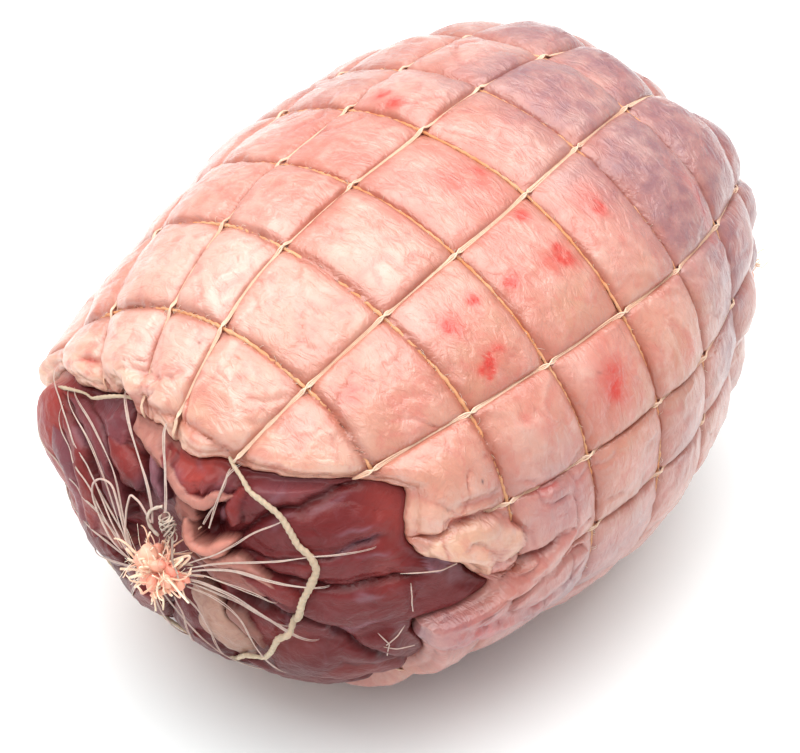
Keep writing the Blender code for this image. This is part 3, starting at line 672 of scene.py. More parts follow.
# painted fields of the skin, each 0 to 1: marks broken up by noise, fat behind the hem, redness and painted
# shade in the grooves, painted shade on the underside and on the lower side of each cushion, and painted
# highlights
def skinFields(row, column, run, angle, spots, low, red):
    turned = fromTop(angle)
    # painted shade: the skin is made darker and pinker towards the underside, through the thin and pink
    # fields
    undersideShade = smooth(84, 120, turned) * smooth(150, 110, run) * smooth(180, 150, turned)
    wobble = layer(spots, *skinNoise["bloodEdge"]) + layer(spots, *skinNoise["bloodFine"])
    blood = np.clip(markField("blood", run, angle) * (1.35 + 1.3 * wobble), 0, 1.2) ** 1.6
    thinAndShade = markField("thinAndShade", run, angle) * (1.1 + 0.35 * layeredNoise(spots, 16, 3, 63)) + 0.3 * undersideShade
    pink = markField("pink", run, angle) + 0.35 * smooth(-0.2, 0.8, layeredNoise(spots, 14, 3, 64))
    fat = np.exp(-np.clip(run - hemRun(angle), 0, None) / 15) * (0.75 + layer(spots, *skinNoise["fat"]))
    fat = fat * (1 - 0.4 * smooth(34, 52, turned) * smooth(140, 110, turned))
    tanAndShade = markField("tanAndShade", run, angle) * (1 + layer(spots, *skinNoise["tanMark"]))
    tanAndShade = tanAndShade + 0.3 * smooth(0.0, 0.7, layer(spots, *skinNoise["tanPlace"]))
    # painted shade: the lower side of each cushion, across the middle of the roll, is made more tan as the
    # side turned from the light
    cellShade = smooth(0.3, 0.9, column - np.floor(column)) * bell(run - 115, 50) * bell(turned - 48, 28)
    tanAndShade = tanAndShade + 0.35 * cellShade * (1 + layer(spots, *skinNoise["tanLower"]))
    fromHoop, fromStrand = fromCords(row, column)
    # darker reddish-brown in and beside the grooves by the cords: partly real staining, partly painted shade
    groove = np.maximum(bell(fromHoop, 1.15), 0.5 * bell(fromStrand, 0.95))
    beside = 0.46 * bell(fromHoop, 3.2) + 0.30 * bell(fromStrand, 2.7)
    groove = np.clip(groove + beside * (1 + layer(spots, *skinNoise["groove"])), 0, 1)
    groove = groove * (1 - 0.6 * np.clip(thinAndShade, 0, 1))
    dark = np.zeros(run.shape)
    for along, degrees in specks["places"]:
        away = np.hypot(run - along, turnFrom(angle, degrees) * radiusAt(run))
        dark = np.maximum(dark, specks["strength"] * bell(away, specks["width"]))
    paintedHighlight = markField("paintedHighlight", run, angle) * (1 + layer(spots, *skinNoise["paintedHighlight"]))
    blood = np.maximum(blood, np.clip(red - 0.6, 0, 1))
    pink = pink + 0.4 * undersideShade + 0.6 * red
    fields = {"tanAndShade": tanAndShade, "paintedHighlight": paintedHighlight, "blood": blood, "thinAndShade": thinAndShade, "pink": pink, "fat": fat,
              "groove": groove, "low": low, "speckAndSlitShade": dark}
    return {key: np.clip(value, 0, 1) for key, value in fields.items()}


# numbers crowded towards each whole one, where the cords lie: n - c sin(2 pi n) / (2 pi)
def crowded(number):
    return number - skin["crowding"] * np.sin(fullTurn * number) / fullTurn


# column numbers of the skin's grid
def gridColumns():
    return crowded(np.arange(columnCount * skin["cellColumns"]) / skin["cellColumns"])[None, :]


# rows between two seams
def bandRows(start, end, steps):
    return start + crowded((end - start) * np.arange(steps + 1) / steps)[:, None]


# lift at the hem: the edge rolls down, and each cell behind it is a cushion of its own, fading with distance
def hemLift(spots, run, column, lift, relief):
    behind = run - run[:1]
    lowEdge = -1.2 + layer(spots, *skinNoise["hemEdge"])
    lift = lowEdge + (lift - lowEdge) * (0.25 + 0.75 * np.sqrt(np.clip(behind / 6.0, 0, 1)))
    cushion = skin["hemCushion"] * dome(column, 2.5) * np.sqrt(np.clip(behind / 3.0, 0.1, 1))
    relief = relief + layer(spots, *skinNoise["hemLump"]) * np.exp(-behind / 6)
    return lift + (cushion - 1.0) * np.exp(-behind / skin["hemReach"]), relief


# rounded lip of the hem: a half turn from the outer face down to the lining, bulged by noise
def hemLip(spots, run, angle, lift, relief):
    half = (lift - liningLift(run)) / 2
    bulge = 1 + layer(spots, *skinNoise["lipBulge"])
    turns = math.pi * np.arange(skin["lipRows"] - 1, 0, -1)[:, None] / skin["lipRows"]
    out = skin["lip"] * bulge * np.sin(turns)
    return onRoll(run - out, angle, lift - half + half * np.cos(turns) + relief * np.cos(turns))


# outer face and lining of the skin between two rows as closed bands; the seams lie under hoops
def makeSkinBand(name, rows, material):
    nearEdge, farEnd = name == "skinNear", name == "skinFar"
    row, column = np.broadcast_arrays(rows, gridColumns())
    run, angle = netPlace(row, column)
    spots = onRoll(run, angle, 0)
    lift, flapFat, flapPink, seam = layFlaps(spots, run, angle, pillowLift(row, column))
    relief, low, red, slit = skinRelief(spots, row, column, run, angle)
    if nearEdge:
        lift, relief = hemLift(spots, run, column, lift, relief)
    fields = skinFields(row, column, run, angle, spots, low, red + 0.7 * seam)
    fields["speckAndSlitShade"] = np.clip(fields["speckAndSlitShade"] + slit, 0, 1)
    fields["groove"] = fields["groove"] * (1 - np.clip(flapFat + flapPink, 0, 1))
    fields["fat"] = np.maximum(fields["fat"] * (1 - 0.6 * flapPink), flapFat)
    fields["pink"] = np.clip(fields["pink"] * (1 - 0.7 * flapFat) + flapPink, 0, 1)
    grid = onRoll(run, angle, lift + relief)
    tips = grid[-1].mean(0) - (0.4, 0, 0)
    if nearEdge:
        lip = hemLip(spots[:1], run[:1], angle[:1], lift[:1], relief[:1])
        grid = np.concatenate([lip, grid])
        edge = [0] * len(lip)  # the lip is painted as the first row
        fields = {key: np.concatenate([value[edge], value]) for key, value in fields.items()}
    along = np.linspace(0, 1, skin["liningRows"])[:, None]
    base = run[:1] + (run[-1:] - run[:1]) * along
    inner = onRoll(base, angle[:1] + (angle[-1:] - angle[:1]) * along, liningLift(base))
    grid = np.concatenate([inner[::-1], grid])
    fields = {key: np.concatenate([np.zeros_like(base), value]) for key, value in fields.items()}
    points, columns = grid.reshape(-1, 3), grid.shape[1]
    faces = ringFaces(len(grid), columns)
    if farEnd:
        points = np.concatenate([points, [tips], [inner[-1].mean(0) - (0.8, 0, 0)]])
        faces += poleFaces(len(points) - 2, len(grid) - 1, columns, False)
        faces += poleFaces(len(points) - 1, 0, columns, True)
        fields = {key: np.append(value, [0, 0]) for key, value in fields.items()}
    else:
        index = np.arange(columns)
        after = (index + 1) % columns
        last = (len(grid) - 1) * columns
        faces += np.stack([last + index, last + after, after, index], -1).tolist()
    return makeObject(name, points, faces, material, "skin", fields, skin["sharpAngle"])


# new material with its finish set
def newMaterial(name, finish):
    material = bpy.data.materials.new(name)
    material.use_nodes = True
    tree = material.node_tree
    shader = tree.nodes["Principled BSDF"]
    for socket, value in finish.items():
        shader.inputs[socket].default_value = value
    return material, tree, shader


# node whose inputs take numbers as values and sockets as links
def addNode(tree, kind, **inputs):
    node = tree.nodes.new(kind)
    for key, value in inputs.items():
        node.inputs[key.replace("_", " ")].default_value = value
    return node


def readField(tree, name):
    node = tree.nodes.new("ShaderNodeAttribute")
    node.attribute_name = name
    return node.outputs["Fac"]


def noiseNode(tree, scale, detail=3.0, stretch=(1, 1, 1), distortion=0.0, roughness=0.55):
    where = tree.nodes.new("ShaderNodeTexCoord")
    mapping = addNode(tree, "ShaderNodeMapping", Scale=stretch)
    tree.links.new(where.outputs["Object"], mapping.inputs["Vector"])
    node = addNode(tree, "ShaderNodeTexNoise", Scale=scale, Detail=detail, Distortion=distortion)
    node.inputs["Roughness"].default_value = roughness
    tree.links.new(mapping.outputs["Vector"], node.inputs["Vector"])
    return node.outputs["Fac"]


# value carried from one range to another, held at both ends
def rangeNode(tree, value, low, high, toLow=0.0, toHigh=1.0):
    node = addNode(tree, "ShaderNodeMapRange", From_Min=low, From_Max=high, To_Min=toLow, To_Max=toHigh)
    tree.links.new(value, node.inputs["Value"])
    return node.outputs["Result"]


# gives each socket its number, its colour or its link
def feed(tree, sockets, values):
    for socket, value in zip(sockets, values):
        if isinstance(value, bpy.types.NodeSocket):
            tree.links.new(value, socket)
        else:
            socket.default_value = (*value, 1.0) if isinstance(value, tuple) else value


# product of two values, held between 0 and 1
def timesNode(tree, one, two):
    node = tree.nodes.new("ShaderNodeMath")
    node.operation = "MULTIPLY"
    node.use_clamp = True
    feed(tree, node.inputs, (one, two))
    return node.outputs[0]


def mixNode(tree, share, one, two):
    node = tree.nodes.new("ShaderNodeMix")
    node.data_type = "RGBA"
    feed(tree, (node.inputs[0], node.inputs[6], node.inputs[7]), (share, one, two))
    return node.outputs[2]


def bumpNode(tree, height, strength, distance, before=None):
    node = addNode(tree, "ShaderNodeBump", Strength=strength, Distance=distance * mm)
    tree.links.new(height, node.inputs["Height"])
    if before is not None:
        tree.links.new(before, node.inputs["Normal"])
    return node.outputs["Normal"]


# lays the look's colours over each other: each shows by its painted field, its texture and its strength
def layColours(tree, shader, look, textures):
    colour = look["ground"]
    for name, field, strength, texture, span in look["layers"]:
        share = readField(tree, field) if field else None
        if texture:
            ranged = rangeNode(tree, textures[texture], *span)
            share = timesNode(tree, share, ranged) if field else ranged
        if strength < 1:
            share = timesNode(tree, share, strength)
        colour = mixNode(tree, share, colour, look[name])
    tree.links.new(colour, shader.inputs["Base Color"])


skinLook = {
    "ground": (0.53, 0.232, 0.172),
    "cream": (0.69, 0.415, 0.28),
    "pink": (0.49, 0.135, 0.105),
    "blood": (0.50, 0.020, 0.009),
    # purple of meat seen through thin skin, also used as painted shade on the underside
    "thinAndShade": (0.245, 0.105, 0.118),
    # reddish-brown of the grooves: partly real staining, partly painted shade
    "groove": (0.35, 0.09, 0.05),
    # near black: real dark specks, and painted shade in the deepest slits
    "white": (0.67, 0.43, 0.365),
    "speckAndSlitShade": (0.08, 0.025, 0.025),
    # tan of the skin, also laid as painted shade on the lower side of cushions and of the roll
    "tanAndShade": (0.46, 0.215, 0.135),
    # in order: colour, painted field, strength, texture, and the range it is carried from and to
    "layers": (
        ("white", "", 1, "soft", (0.40, 0.70)),
        ("cream", "fat", 0.95, "", ()),
        # painted shade and highlight: pinker in the hollows of the relief, whiter on its ridges
        ("pink", "", 1, "low", (0.40, 0.95, 0.0, 0.65)),
        ("white", "", 1, "low", (0.42, 0.10, 0.0, 0.6)),
        ("white", "paintedHighlight", 0.8, "", ()),
        ("tanAndShade", "tanAndShade", 0.9, "soft", (0.3, 0.6, 0.6, 1.0)),
        ("pink", "pink", 0.75, "mottle", (0.32, 0.62, 0.35, 1.0)),
        ("pink", "", 1, "blotch", (0.50, 0.34, 0.0, 0.50)),
        ("white", "", 1, "mottle", (0.52, 0.74, 0.0, 0.45)),
        ("pink", "", 1, "vein", (0.60, 0.66, 0.0, 0.25)),
        ("thinAndShade", "thinAndShade", 0.98, "mottle", (0.38, 0.60, 1.0, 0.66)),
        ("blood", "blood", 0.95, "mottle", (0.32, 0.58, 0.6, 1.2)),
        ("groove", "groove", 0.75, "", ()),
        ("speckAndSlitShade", "speckAndSlitShade", 1, "", ()),
    ),
    "finish": {
        "Roughness": 0.42, "Subsurface Weight": 0.14, "Subsurface Radius": (1.0, 0.4, 0.25),
        "Subsurface Scale": 0.0025, "Coat Weight": 0.7, "Coat Roughness": 0.12,
    },
}


def skinMaterial():
    material, tree, shader = newMaterial("rawSkin", skinLook["finish"])
    textures = {
        "low": readField(tree, "low"),
        "soft": noiseNode(tree, 60, 4),
        "mottle": noiseNode(tree, 190, 5, distortion=0.2, roughness=0.62),
        "blotch": noiseNode(tree, 130, 5, distortion=1.4, roughness=0.6),
        "vein": noiseNode(tree, 95, 2, distortion=2.2),
    }
    layColours(tree, shader, skinLook, textures)
    lines = bumpNode(tree, noiseNode(tree, 380, 4, (1.0, 0.45, 0.45), 1.6), 0.8, 0.7)
    shape = bumpNode(tree, noiseNode(tree, 1100, 3), 0.4, 0.14, lines)
    for socket in ("Normal", "Coat Normal"):
        tree.links.new(shape, shader.inputs[socket])
    return material


meatLook = {
    "ground": (0.108, 0.011, 0.012),
    "other": (0.145, 0.019, 0.020),
    # near black painted shade: clefts, pits, fold rims, the underside and under the skin's edge
    "deep": (0.030, 0.003, 0.004),
    "red": (0.33, 0.048, 0.038),
    "pink": (0.52, 0.215, 0.165),
    "lilac": (0.24, 0.120, 0.150),
    "pale": (0.40, 0.225, 0.17),
    "flap": (0.43, 0.185, 0.145),
    "fibre": (0.20, 0.055, 0.062),
    "layers": (
        ("other", "", 1, "soft", (0.3, 0.7)),
        *((tone, tone, 1, "", ()) for tone in ("red", "pink", "lilac", "pale", "flap")),
        ("fibre", "", 1, "fibre", (0.45, 0.75, 0.0, 0.3)),
        ("lilac", "", 1, "silk", (0.58, 0.70, 0.0, 0.10)),
        ("deep", "deep", 0.85, "", ()),
    ),
    "finish": {
        "Roughness": 0.36, "Subsurface Weight": 0.15, "Subsurface Radius": (1.0, 0.3, 0.25),
        "Subsurface Scale": 0.002, "Specular IOR Level": 0.14, "Coat Weight": 0.12, "Coat Roughness": 0.12,
    },
}


def meatMaterial():
    material, tree, shader = newMaterial("wetDarkMeat", meatLook["finish"])
    textures = {
        "soft": noiseNode(tree, 60, 3),
        "fibre": noiseNode(tree, 260, 5, (0.4, 1.0, 1.0), 1.4),
        "silk": noiseNode(tree, 120, 3, (1.0, 0.5, 1.0), 2.6),
    }
    layColours(tree, shader, meatLook, textures)
    fibres = bumpNode(tree, textures["fibre"], 0.8, 0.7)
    tree.links.new(bumpNode(tree, noiseNode(tree, 900, 3), 0.4, 0.16, fibres), shader.inputs["Normal"])
    return material


# covered cord: its colour, mottled with a darker one, and where it is stained
def cordMaterial(name, colour, stain, roughness=0.75):
    finish = {"Roughness": roughness, "Subsurface Weight": 0.1, "Subsurface Scale": 0.001}
    material, tree, shader = newMaterial(name, finish)
    darker = tuple(0.78 * value for value in colour)
    tint = mixNode(tree, rangeNode(tree, noiseNode(tree, 900, 3), 0.35, 0.7), colour, darker)
    tree.links.new(mixNode(tree, readField(tree, "stain"), tint, stain), shader.inputs["Base Color"])
    tree.links.new(bumpNode(tree, noiseNode(tree, 2600, 2), 0.5, 0.12), shader.inputs["Normal"])
    return material


# the bare meat at the tied end
meat = {
    "level": -1.6,
    "tuck": -2.4,  # highest lift under the skin's edge
    "hollow": 5.0,  # the meat sinks towards the tie
    "hollowReach": 20.0,
    "throat": 3.0,
    "throatReach": 14,
    "columns": 480,
    "rows": 176,
    "hiddenRows": 25,
    "behindHem": 12,
    "underSkin": 1.1,  # gap between the meat and the skin's lining
    "sharpAngle": 70,
    # lobes: run, degrees, turn of the long axis, half length, half width, height, tone
    "lobes": (
        # the second lobe, low and flap-toned on the first one's top, is a painted highlight
        (49, -78, 0, 20, 13, 3.2, "red"), (57, -73, 0, 9, 9, 0.6, "flap"), (40, -44, 40, 10, 8, 1.4, ""),
        (31, 12, 30, 9, 8, 1.5, "red"), (40, 40, 78, 15, 8, 2.0, ""), (44, 57, 82, 17, 8, 1.8, ""),
        (46, 71, 82, 18, 6.5, 1.9, ""), (46, 92, 75, 18, 10, 2.4, ""), (60, 112, 60, 16, 9, 2.4, ""),
        (46, 132, 40, 17, 10, 2.8, ""), (62, 150, 30, 14, 12, 2.4, "red"), (42, 172, 10, 15, 11, 2.6, ""),
        (46, 205, 0, 16, 12, 2.6, ""), (44, 240, 0, 15, 13, 2.8, "red"), (50, 264, 0, 14, 11, 2.4, ""),
        (64, 72, 80, 9, 9, 0.8, ""), (74, 92, 80, 12, 5, 0.8, ""), (24, 205, 0, 10, 9, 1.6, ""),
        (22, 245, 0, 10, 9, 1.6, ""), (22, 165, 0, 9, 8, 1.4, ""),
    ),
    # clefts between muscles: knots (run, degrees), half width, depth
    "clefts": (
        (((23.8, 53), (33.8, 48), (43.9, 49), (53.3, 48), (60, 49)), 1.1, 2.0),
        (((23, 61), (36.4, 66), (45.4, 68), (52.8, 67), (59, 67)), 0.9, 1.0),
        (((24.5, 70), (34.9, 77), (43.7, 82), (57.6, 81), (66, 83)), 1.0, 1.6),
        (((17.7, 93), (27.4, 106), (37.0, 100), (44.9, 104), (53.6, 111), (66, 117)), 1.5, 2.6),
        (((24, 152), (34, 148), (46, 152), (60, 142), (70, 136)), 1.3, 2.2),
        (((14, -48), (26, -56), (36, -62), (48, -66)), 1.2, 2.0),
        (((16, -28), (27, -24), (33, -27), (42, -34)), 1.2, 2.4),
        (((14, 12), (22, 24), (30, 30), (36, 31)), 1.2, 2.0),
        (((10, 176), (24, 182), (36, 188), (56, 190)), 1.3, 2.0),
        (((12, 215), (26, 222), (40, 224), (58, 222)), 1.3, 2.0),
        (((12, 262), (26, 256), (40, 258), (58, 252)), 1.3, 2.0),
    ),
    # pits: run, degrees, width, depth
    "pits": ((20.5, 39, 4.5, 3.2), (17, -36, 4, 1.2), (24, 101, 4, 2.0), (10, 95, 4, 2.0)),
    # silvery streaks: from and to (run, degrees), half width, strength
    "streaks": (
        ((44, 51), (57, 51), 0.9, 0.7), ((47, 60), (58, 62), 0.8, 0.6), ((46, 68), (58, 66), 1.0, 0.8),
        ((50, 71), (60, 73), 0.7, 0.5), ((48, 84), (58, 87), 0.8, 0.5), ((44, 111), (60, 92), 1.1, 0.45),
        ((34, 54), (44, 50), 0.8, 0.3), ((30, 128), (50, 133), 1.0, 0.15),
        ((55, 100), (66, 102), 0.8, 0.35), ((33, -30), (45, -52), 1.0, 0.35),
        ((25, -60), (40, -66), 1.4, 0.5), ((36, 44), (46, 41), 1.5, 0.5), ((34, 32), (56, 48), 3.4, 0.3),
        ((20, -30), (15, 2), 4.0, 0.55), ((22, 20), (36, 26), 2.6, 0.3),
    ),
    # blushes of red: strength, run, its half width, degrees, their half width
    "blushes": ((1, 63, 6, 60, 10), (0.6, 48, 8, 44, 9), (0.9, 33, 5, 9, 10)),
}
meatNoise = {
    "stray": ((1.5, 9, 78), (0.9, 3.8, 76), (0.25, 1.5, 74)),  # the seeds for v are one higher
    "relief": ((0.5, 9, 86), (0.32, 4, 87)),
    "grain": (0.20, 1.6, 88),
    "foldEdge": (0.12, 1, 131),
    "foldTop": (0.14, 1, 134),
    "streakStray": (0.9, 5, 82),
    "silverPlace": (1, 15, 84),
    "redPlace": (1, 13, 85),
}

# folds of muscle, membrane and fat that lie over each other at the bare end: knots (run, degrees, lift),
# half width, height over the knots, tone and its strength
folds = (
    (((60, -76, -1.6), (52, -82, -0.6), (45, -92, -0.8), (37, -104, -1.6)), 10.5, 2.4, "red", 0.7),
    (((43, -74, -1.8), (38, -80, -1.0), (33, -92, -0.8), (27, -112, -1.4)), 5.4, 2.8, "lilac", 0.4),
    (((47, -52, -1.9), (40, -44, -1.4), (33, -38, -1.6), (29, -32, -2.2)), 6.4, 2.0, "lilac", 0.25),
    (((46, -62, -1.9), (38, -57, -1.2), (30, -54, -1.4), (22, -52, -2.0)), 3.4, 2.0, "lilac", 0.20),
    (
        ((42, -67, -1.6), (33, -70, -0.8), (26, -82, -0.8), (24, -100, -1.0), (26, -122, -1.6)), 4.2, 2.6,
        "red", 0.25,
    ),
    (((33, -40, -2.0), (27, -38, -1.4), (21, -33, -1.6), (16, -26, -2.4)), 4.2, 2.6, "red", 0.25),
    (((30, -56, -2.0), (24, -58, -1.6), (18, -64, -1.8), (12, -76, -2.4)), 3.8, 1.8, "lilac", 0.15),
    (((34, -8, -2.0), (29, -4, -1.6), (24, 0, -2.2)), 3.0, 1.6, "red", 0.5),
    (
        ((53, -29, -1.8), (44, -25, -1.3), (35, -21, -1.1), (29, -13, -1.3), (25.5, -4, -2.0)), 4.8, 1.2,
        "flap", 0.95,
    ),
    (((52, -8, -1.8), (42, -8, -1.3), (34, -7, -1.1), (27, -3, -1.8)), 3.2, 0.9, "flap", 0.45),
    (((28, -17, -1.6), (22.5, -11, -0.8), (16, -2, -1.8)), 1.7, 1.3, "lilac", 0.7),
    (((54, 4, -1.8), (44, 5, -1.2), (35, 6, -1.0), (28, 9, -1.2), (23.5, 15, -2.0)), 5.4, 1.5, "red", 0.75),
    (((52, 17, -1.8), (42, 16, -1.3), (34, 15, -1.1), (27, 20, -1.8)), 4.2, 1.3, "red", 0.35),
    (
        ((32, -8, -1.0), (27, -1, -0.4), (24.0, 8, 0.0), (23.6, 18, 0.2), (27.0, 26, -0.4), (34, 30, -1.2)),
        1.5, 0.8, "flap", 0.95,
    ),
    (((24, 10, -2.4), (19, 15, -1.8), (15, 23, -2.2)), 3.0, 1.6, "flap", 0.6),
    (((8, 66, -2.6), (14, 72, -1.8), (20, 78, -1.8), (28, 88, -2.2)), 4.2, 1.6, "flap", 0.55),
    (
        (
            (10.0, 40, -2.6), (12.5, 56, -1.6), (17.5, 65, -1.2), (22.8, 64, -1.0), (26, 71, -1.2),
            (31, 82, -2.0),
        ),
        2.1, 1.8, "flap", 1.0,
    ),
    (
        (
            (18.5, 18, -2.4), (14.8, 26, -1.4), (12.6, 38, -0.9), (14.2, 51, -0.6), (18.6, 56, -0.7),
            (27.0, 51, -1.8),
        ),
        2.2, 2.4, "pink", 1.0,
    ),
    (((20, 40, -3.4), (25, 35, -3.0), (30, 32, -2.6)), 1.3, 0.9, "lilac", 0.6),
    (((37, 30, -1.6), (31, 36, -1.2), (27, 45, -1.6)), 2.6, 1.6, "red", 0.3),
    (((10, 118, -2.6), (19, 135, -1.6), (28, 144, -1.2), (39, 149, -1.8)), 6.4, 1.6, "pale", 1.0),
    (((19, 112, -2.2), (27, 121, -1.6), (36, 133, -1.9)), 2.2, 1.2, "pale", 0.5),
    (((22, 74, -2.2), (32, 85, -1.4), (38, 92, -1.6), (44, 96, -2.2)), 3.8, 1.7, "red", 0.25),
    (((38, 132, -2.0), (50, 131, -1.2), (58, 128, -1.2), (72, 124, -1.9)), 7.0, 2.3, "red", 0.35),
    (((38, 152, -2.0), (50, 149, -1.2), (60, 144, -1.2), (72, 139, -1.9)), 7.0, 2.2, "red", 0.2),
    (((28, 166, -2.2), (40, 168, -1.2), (52, 165, -1.2), (66, 159, -1.9)), 7.5, 2.3, "", 0.0),
    (((20, 196, -2.2), (34, 200, -1.2), (46, 200, -1.2), (60, 198, -1.9)), 7.5, 2.3, "red", 0.3),
    (((20, 228, -2.2), (34, 232, -1.2), (46, 234, -1.2), (60, 234, -1.9)), 7.5, 2.1, "", 0.0),
    (((22, 262, -2.2), (36, 262, -1.2), (48, 260, -1.2), (62, 257, -1.9)), 7.0, 2.1, "lilac", 0.2),
    (((66, 78, -1.9), (70, 80, -1.2), (74.5, 81, -1.4)), 3.0, 1.2, "lilac", 1.0),
    (((12, 236, -2.4), (22, 250, -1.6), (32, 259, -2.2)), 3.8, 1.8, "pink", 0.4),
)
toneKeys = ("red", "pink", "lilac", "pale", "flap", "deep")


# a fold rises from its knots as (1 - (away / half width)^2)^0.7, and its half width goes as
# (1 - |2 s - 1|^2.2)^0.5 along it; the higher of fold and ground wins, with the corner rounded over 0.5 mm
def layFolds(u, v, lift, tones):
    for number, (knots, halfWide, height, tone, strength) in enumerate(folds):
        run, angle, level = flatRoute(knots, 13, 1)
        line = np.stack(flatMap(run, angle), -1)
        middle = line.mean(0)
        near = (np.abs(u - middle[0]) < 30 + halfWide) & (np.abs(v - middle[1]) < 30 + halfWide)
        away, share, hand = lineDistance(u[near], v[near], line.tolist())
        grain = np.stack([share * 4, hand * away / 1.5, np.full(share.shape, number * 9.7)], -1)
        width = np.maximum(halfWide * dome(share, 2.2) ** 0.5, 0.05)
        width = width * (1 + layer(grain * (1.5, 0, 1), *meatNoise["foldEdge"]))
        rim = away / width
        rise = np.interp(share, np.linspace(0, 1, len(level)), level)
        rise = rise + height * np.clip(1 - rim**2, 0, 1) ** 0.7
        rise = rise + layer(grain, *meatNoise["foldTop"]) * (rim < 1)
        below = lift[near]
        over = np.where(rim < 1, smooth(-0.1, 0.5, rise - below), 0)
        gap = np.clip(0.5 - np.abs(rise - below), 0, 0.5)
        lift[near] = np.where(rim < 1, np.maximum(below, rise) + gap**2 / 2, below)
        for key in toneKeys:
            tones[key][near] = tones[key][near] * (1 - over) + strength * (key == tone) * over
        # painted shade along the rim of each fold that stands clear of the ground
        seam = bell((rim - 1.04) * width, 0.55) * smooth(0.5, 1.8, height) * (rise > below - 1.2)
        tones["deep"][near] = np.maximum(tones["deep"][near], 0.55 * seam)
    return lift, tones


# muscle lobes: each rises as (1 - along^2 - across^2)^0.7 in its own turned axes, the highest wins
def layLobes(u, v, tones):
    rise = np.zeros(u.shape)
    for along, degrees, turn, halfLong, halfWide, height, tone in meat["lobes"]:
        cu, cv = flatPoint((along, degrees))
        way = math.radians(turn)
        a = (u - cu) * math.sin(way) + (v - cv) * math.cos(way)
        b = (u - cu) * math.cos(way) - (v - cv) * math.sin(way)
        share = np.clip(1 - (a / halfLong) ** 2 - (b / halfWide) ** 2, 0, 1)
        rise = np.maximum(rise, height * share**0.7)
        if tone:
            tones[tone] = np.maximum(tones[tone], 0.8 * smooth(0.0, 0.8, share))
    return rise


# lift of the bare meat and its tones: lobes, folds, clefts and pits in the flat map, under the cords, with
# painted shade in the clefts, the pits, along fold rims and on the underside
def meatShape(run, angle):
    u, v = flatMap(run, angle)
    spots = onRoll(run, angle, 0)
    u = u + sum(layer(spots, *stray) for stray in meatNoise["stray"])
    v = v + sum(layer(spots, strength, pitch, seed + 1) for strength, pitch, seed in meatNoise["stray"])
    radius = radiusAt(run)
    turned = fromTop(angle)
    tones = {key: np.zeros(run.shape) for key in toneKeys}
    lift = meat["level"] - meat["hollow"] * bell(radius, meat["hollowReach"]) + layLobes(u, v, tones)
    for knots, halfWide, depth in meat["clefts"]:
        away, share, _ = lineDistance(u, v, [flatPoint(knot) for knot in knots])
        ends = smooth(0, 0.12, share) * smooth(0, 0.12, 1 - share)
        cut = np.exp(-((away / halfWide) ** 1.5)) * (0.35 + 0.65 * ends)
        lift = lift - depth * cut
        # painted shade in each cleft
        tones["deep"] = np.maximum(tones["deep"], 0.8 * cut)
    lift, tones = layFolds(u, v, lift, tones)
    lift = lift - meat["throat"] * bell(radius, meat["throatReach"])
    for along, degrees, wide, depth in meat["pits"]:
        cu, cv = flatPoint((along, degrees))
        share = bell(np.hypot(u - cu, v - cv), wide) * (1 - tones["pink"]) * (1 - tones["flap"])
        lift = lift - depth * share
        tones["deep"] = np.maximum(tones["deep"], 0.9 * share)
    silver = np.zeros(run.shape)
    for start, end, halfWide, strength in meat["streaks"]:
        away, share, _ = lineDistance(u, v, [flatPoint(start), flatPoint(end)])
        ends = smooth(0, 0.3, share) * smooth(0, 0.3, 1 - share)
        streak = strength * bell(away + layer(spots, *meatNoise["streakStray"]), halfWide) * ends
        silver = np.maximum(silver, streak)
    places = smooth(0, 0.5, layer(spots, *meatNoise["silverPlace"]))
    silver = silver + 0.35 * creases(spots * (0.4, 1, 1), 7, 0.12, 83) * places
    silver = silver * (1 - 0.7 * smooth(100, 135, np.abs(turned)))
    tones["lilac"] = np.maximum(tones["lilac"] * 0.85, np.clip(silver, 0, 1))
    # painted shade: darker towards the underside
    low = 0.5 * smooth(100, 140, np.abs(turned)) * smooth(20, 40, run)
    tones["deep"] = np.maximum(tones["deep"], low)
    blush = sum(strength * bell(run - at, wide) * bell(turned - degrees, halfTurn)
                for strength, at, wide, degrees, halfTurn in meat["blushes"])
    places = smooth(0.1, 0.7, layer(spots, *meatNoise["redPlace"]))
    tones["red"] = np.clip(0.85 * tones["red"] + 0.55 * blush + 0.3 * places, 0, 1)
    lift = lift + sum(layer(spots, *part) for part in meatNoise["relief"])
    return lift + layer(spots * (0.3, 1, 1), *meatNoise["grain"]), tones


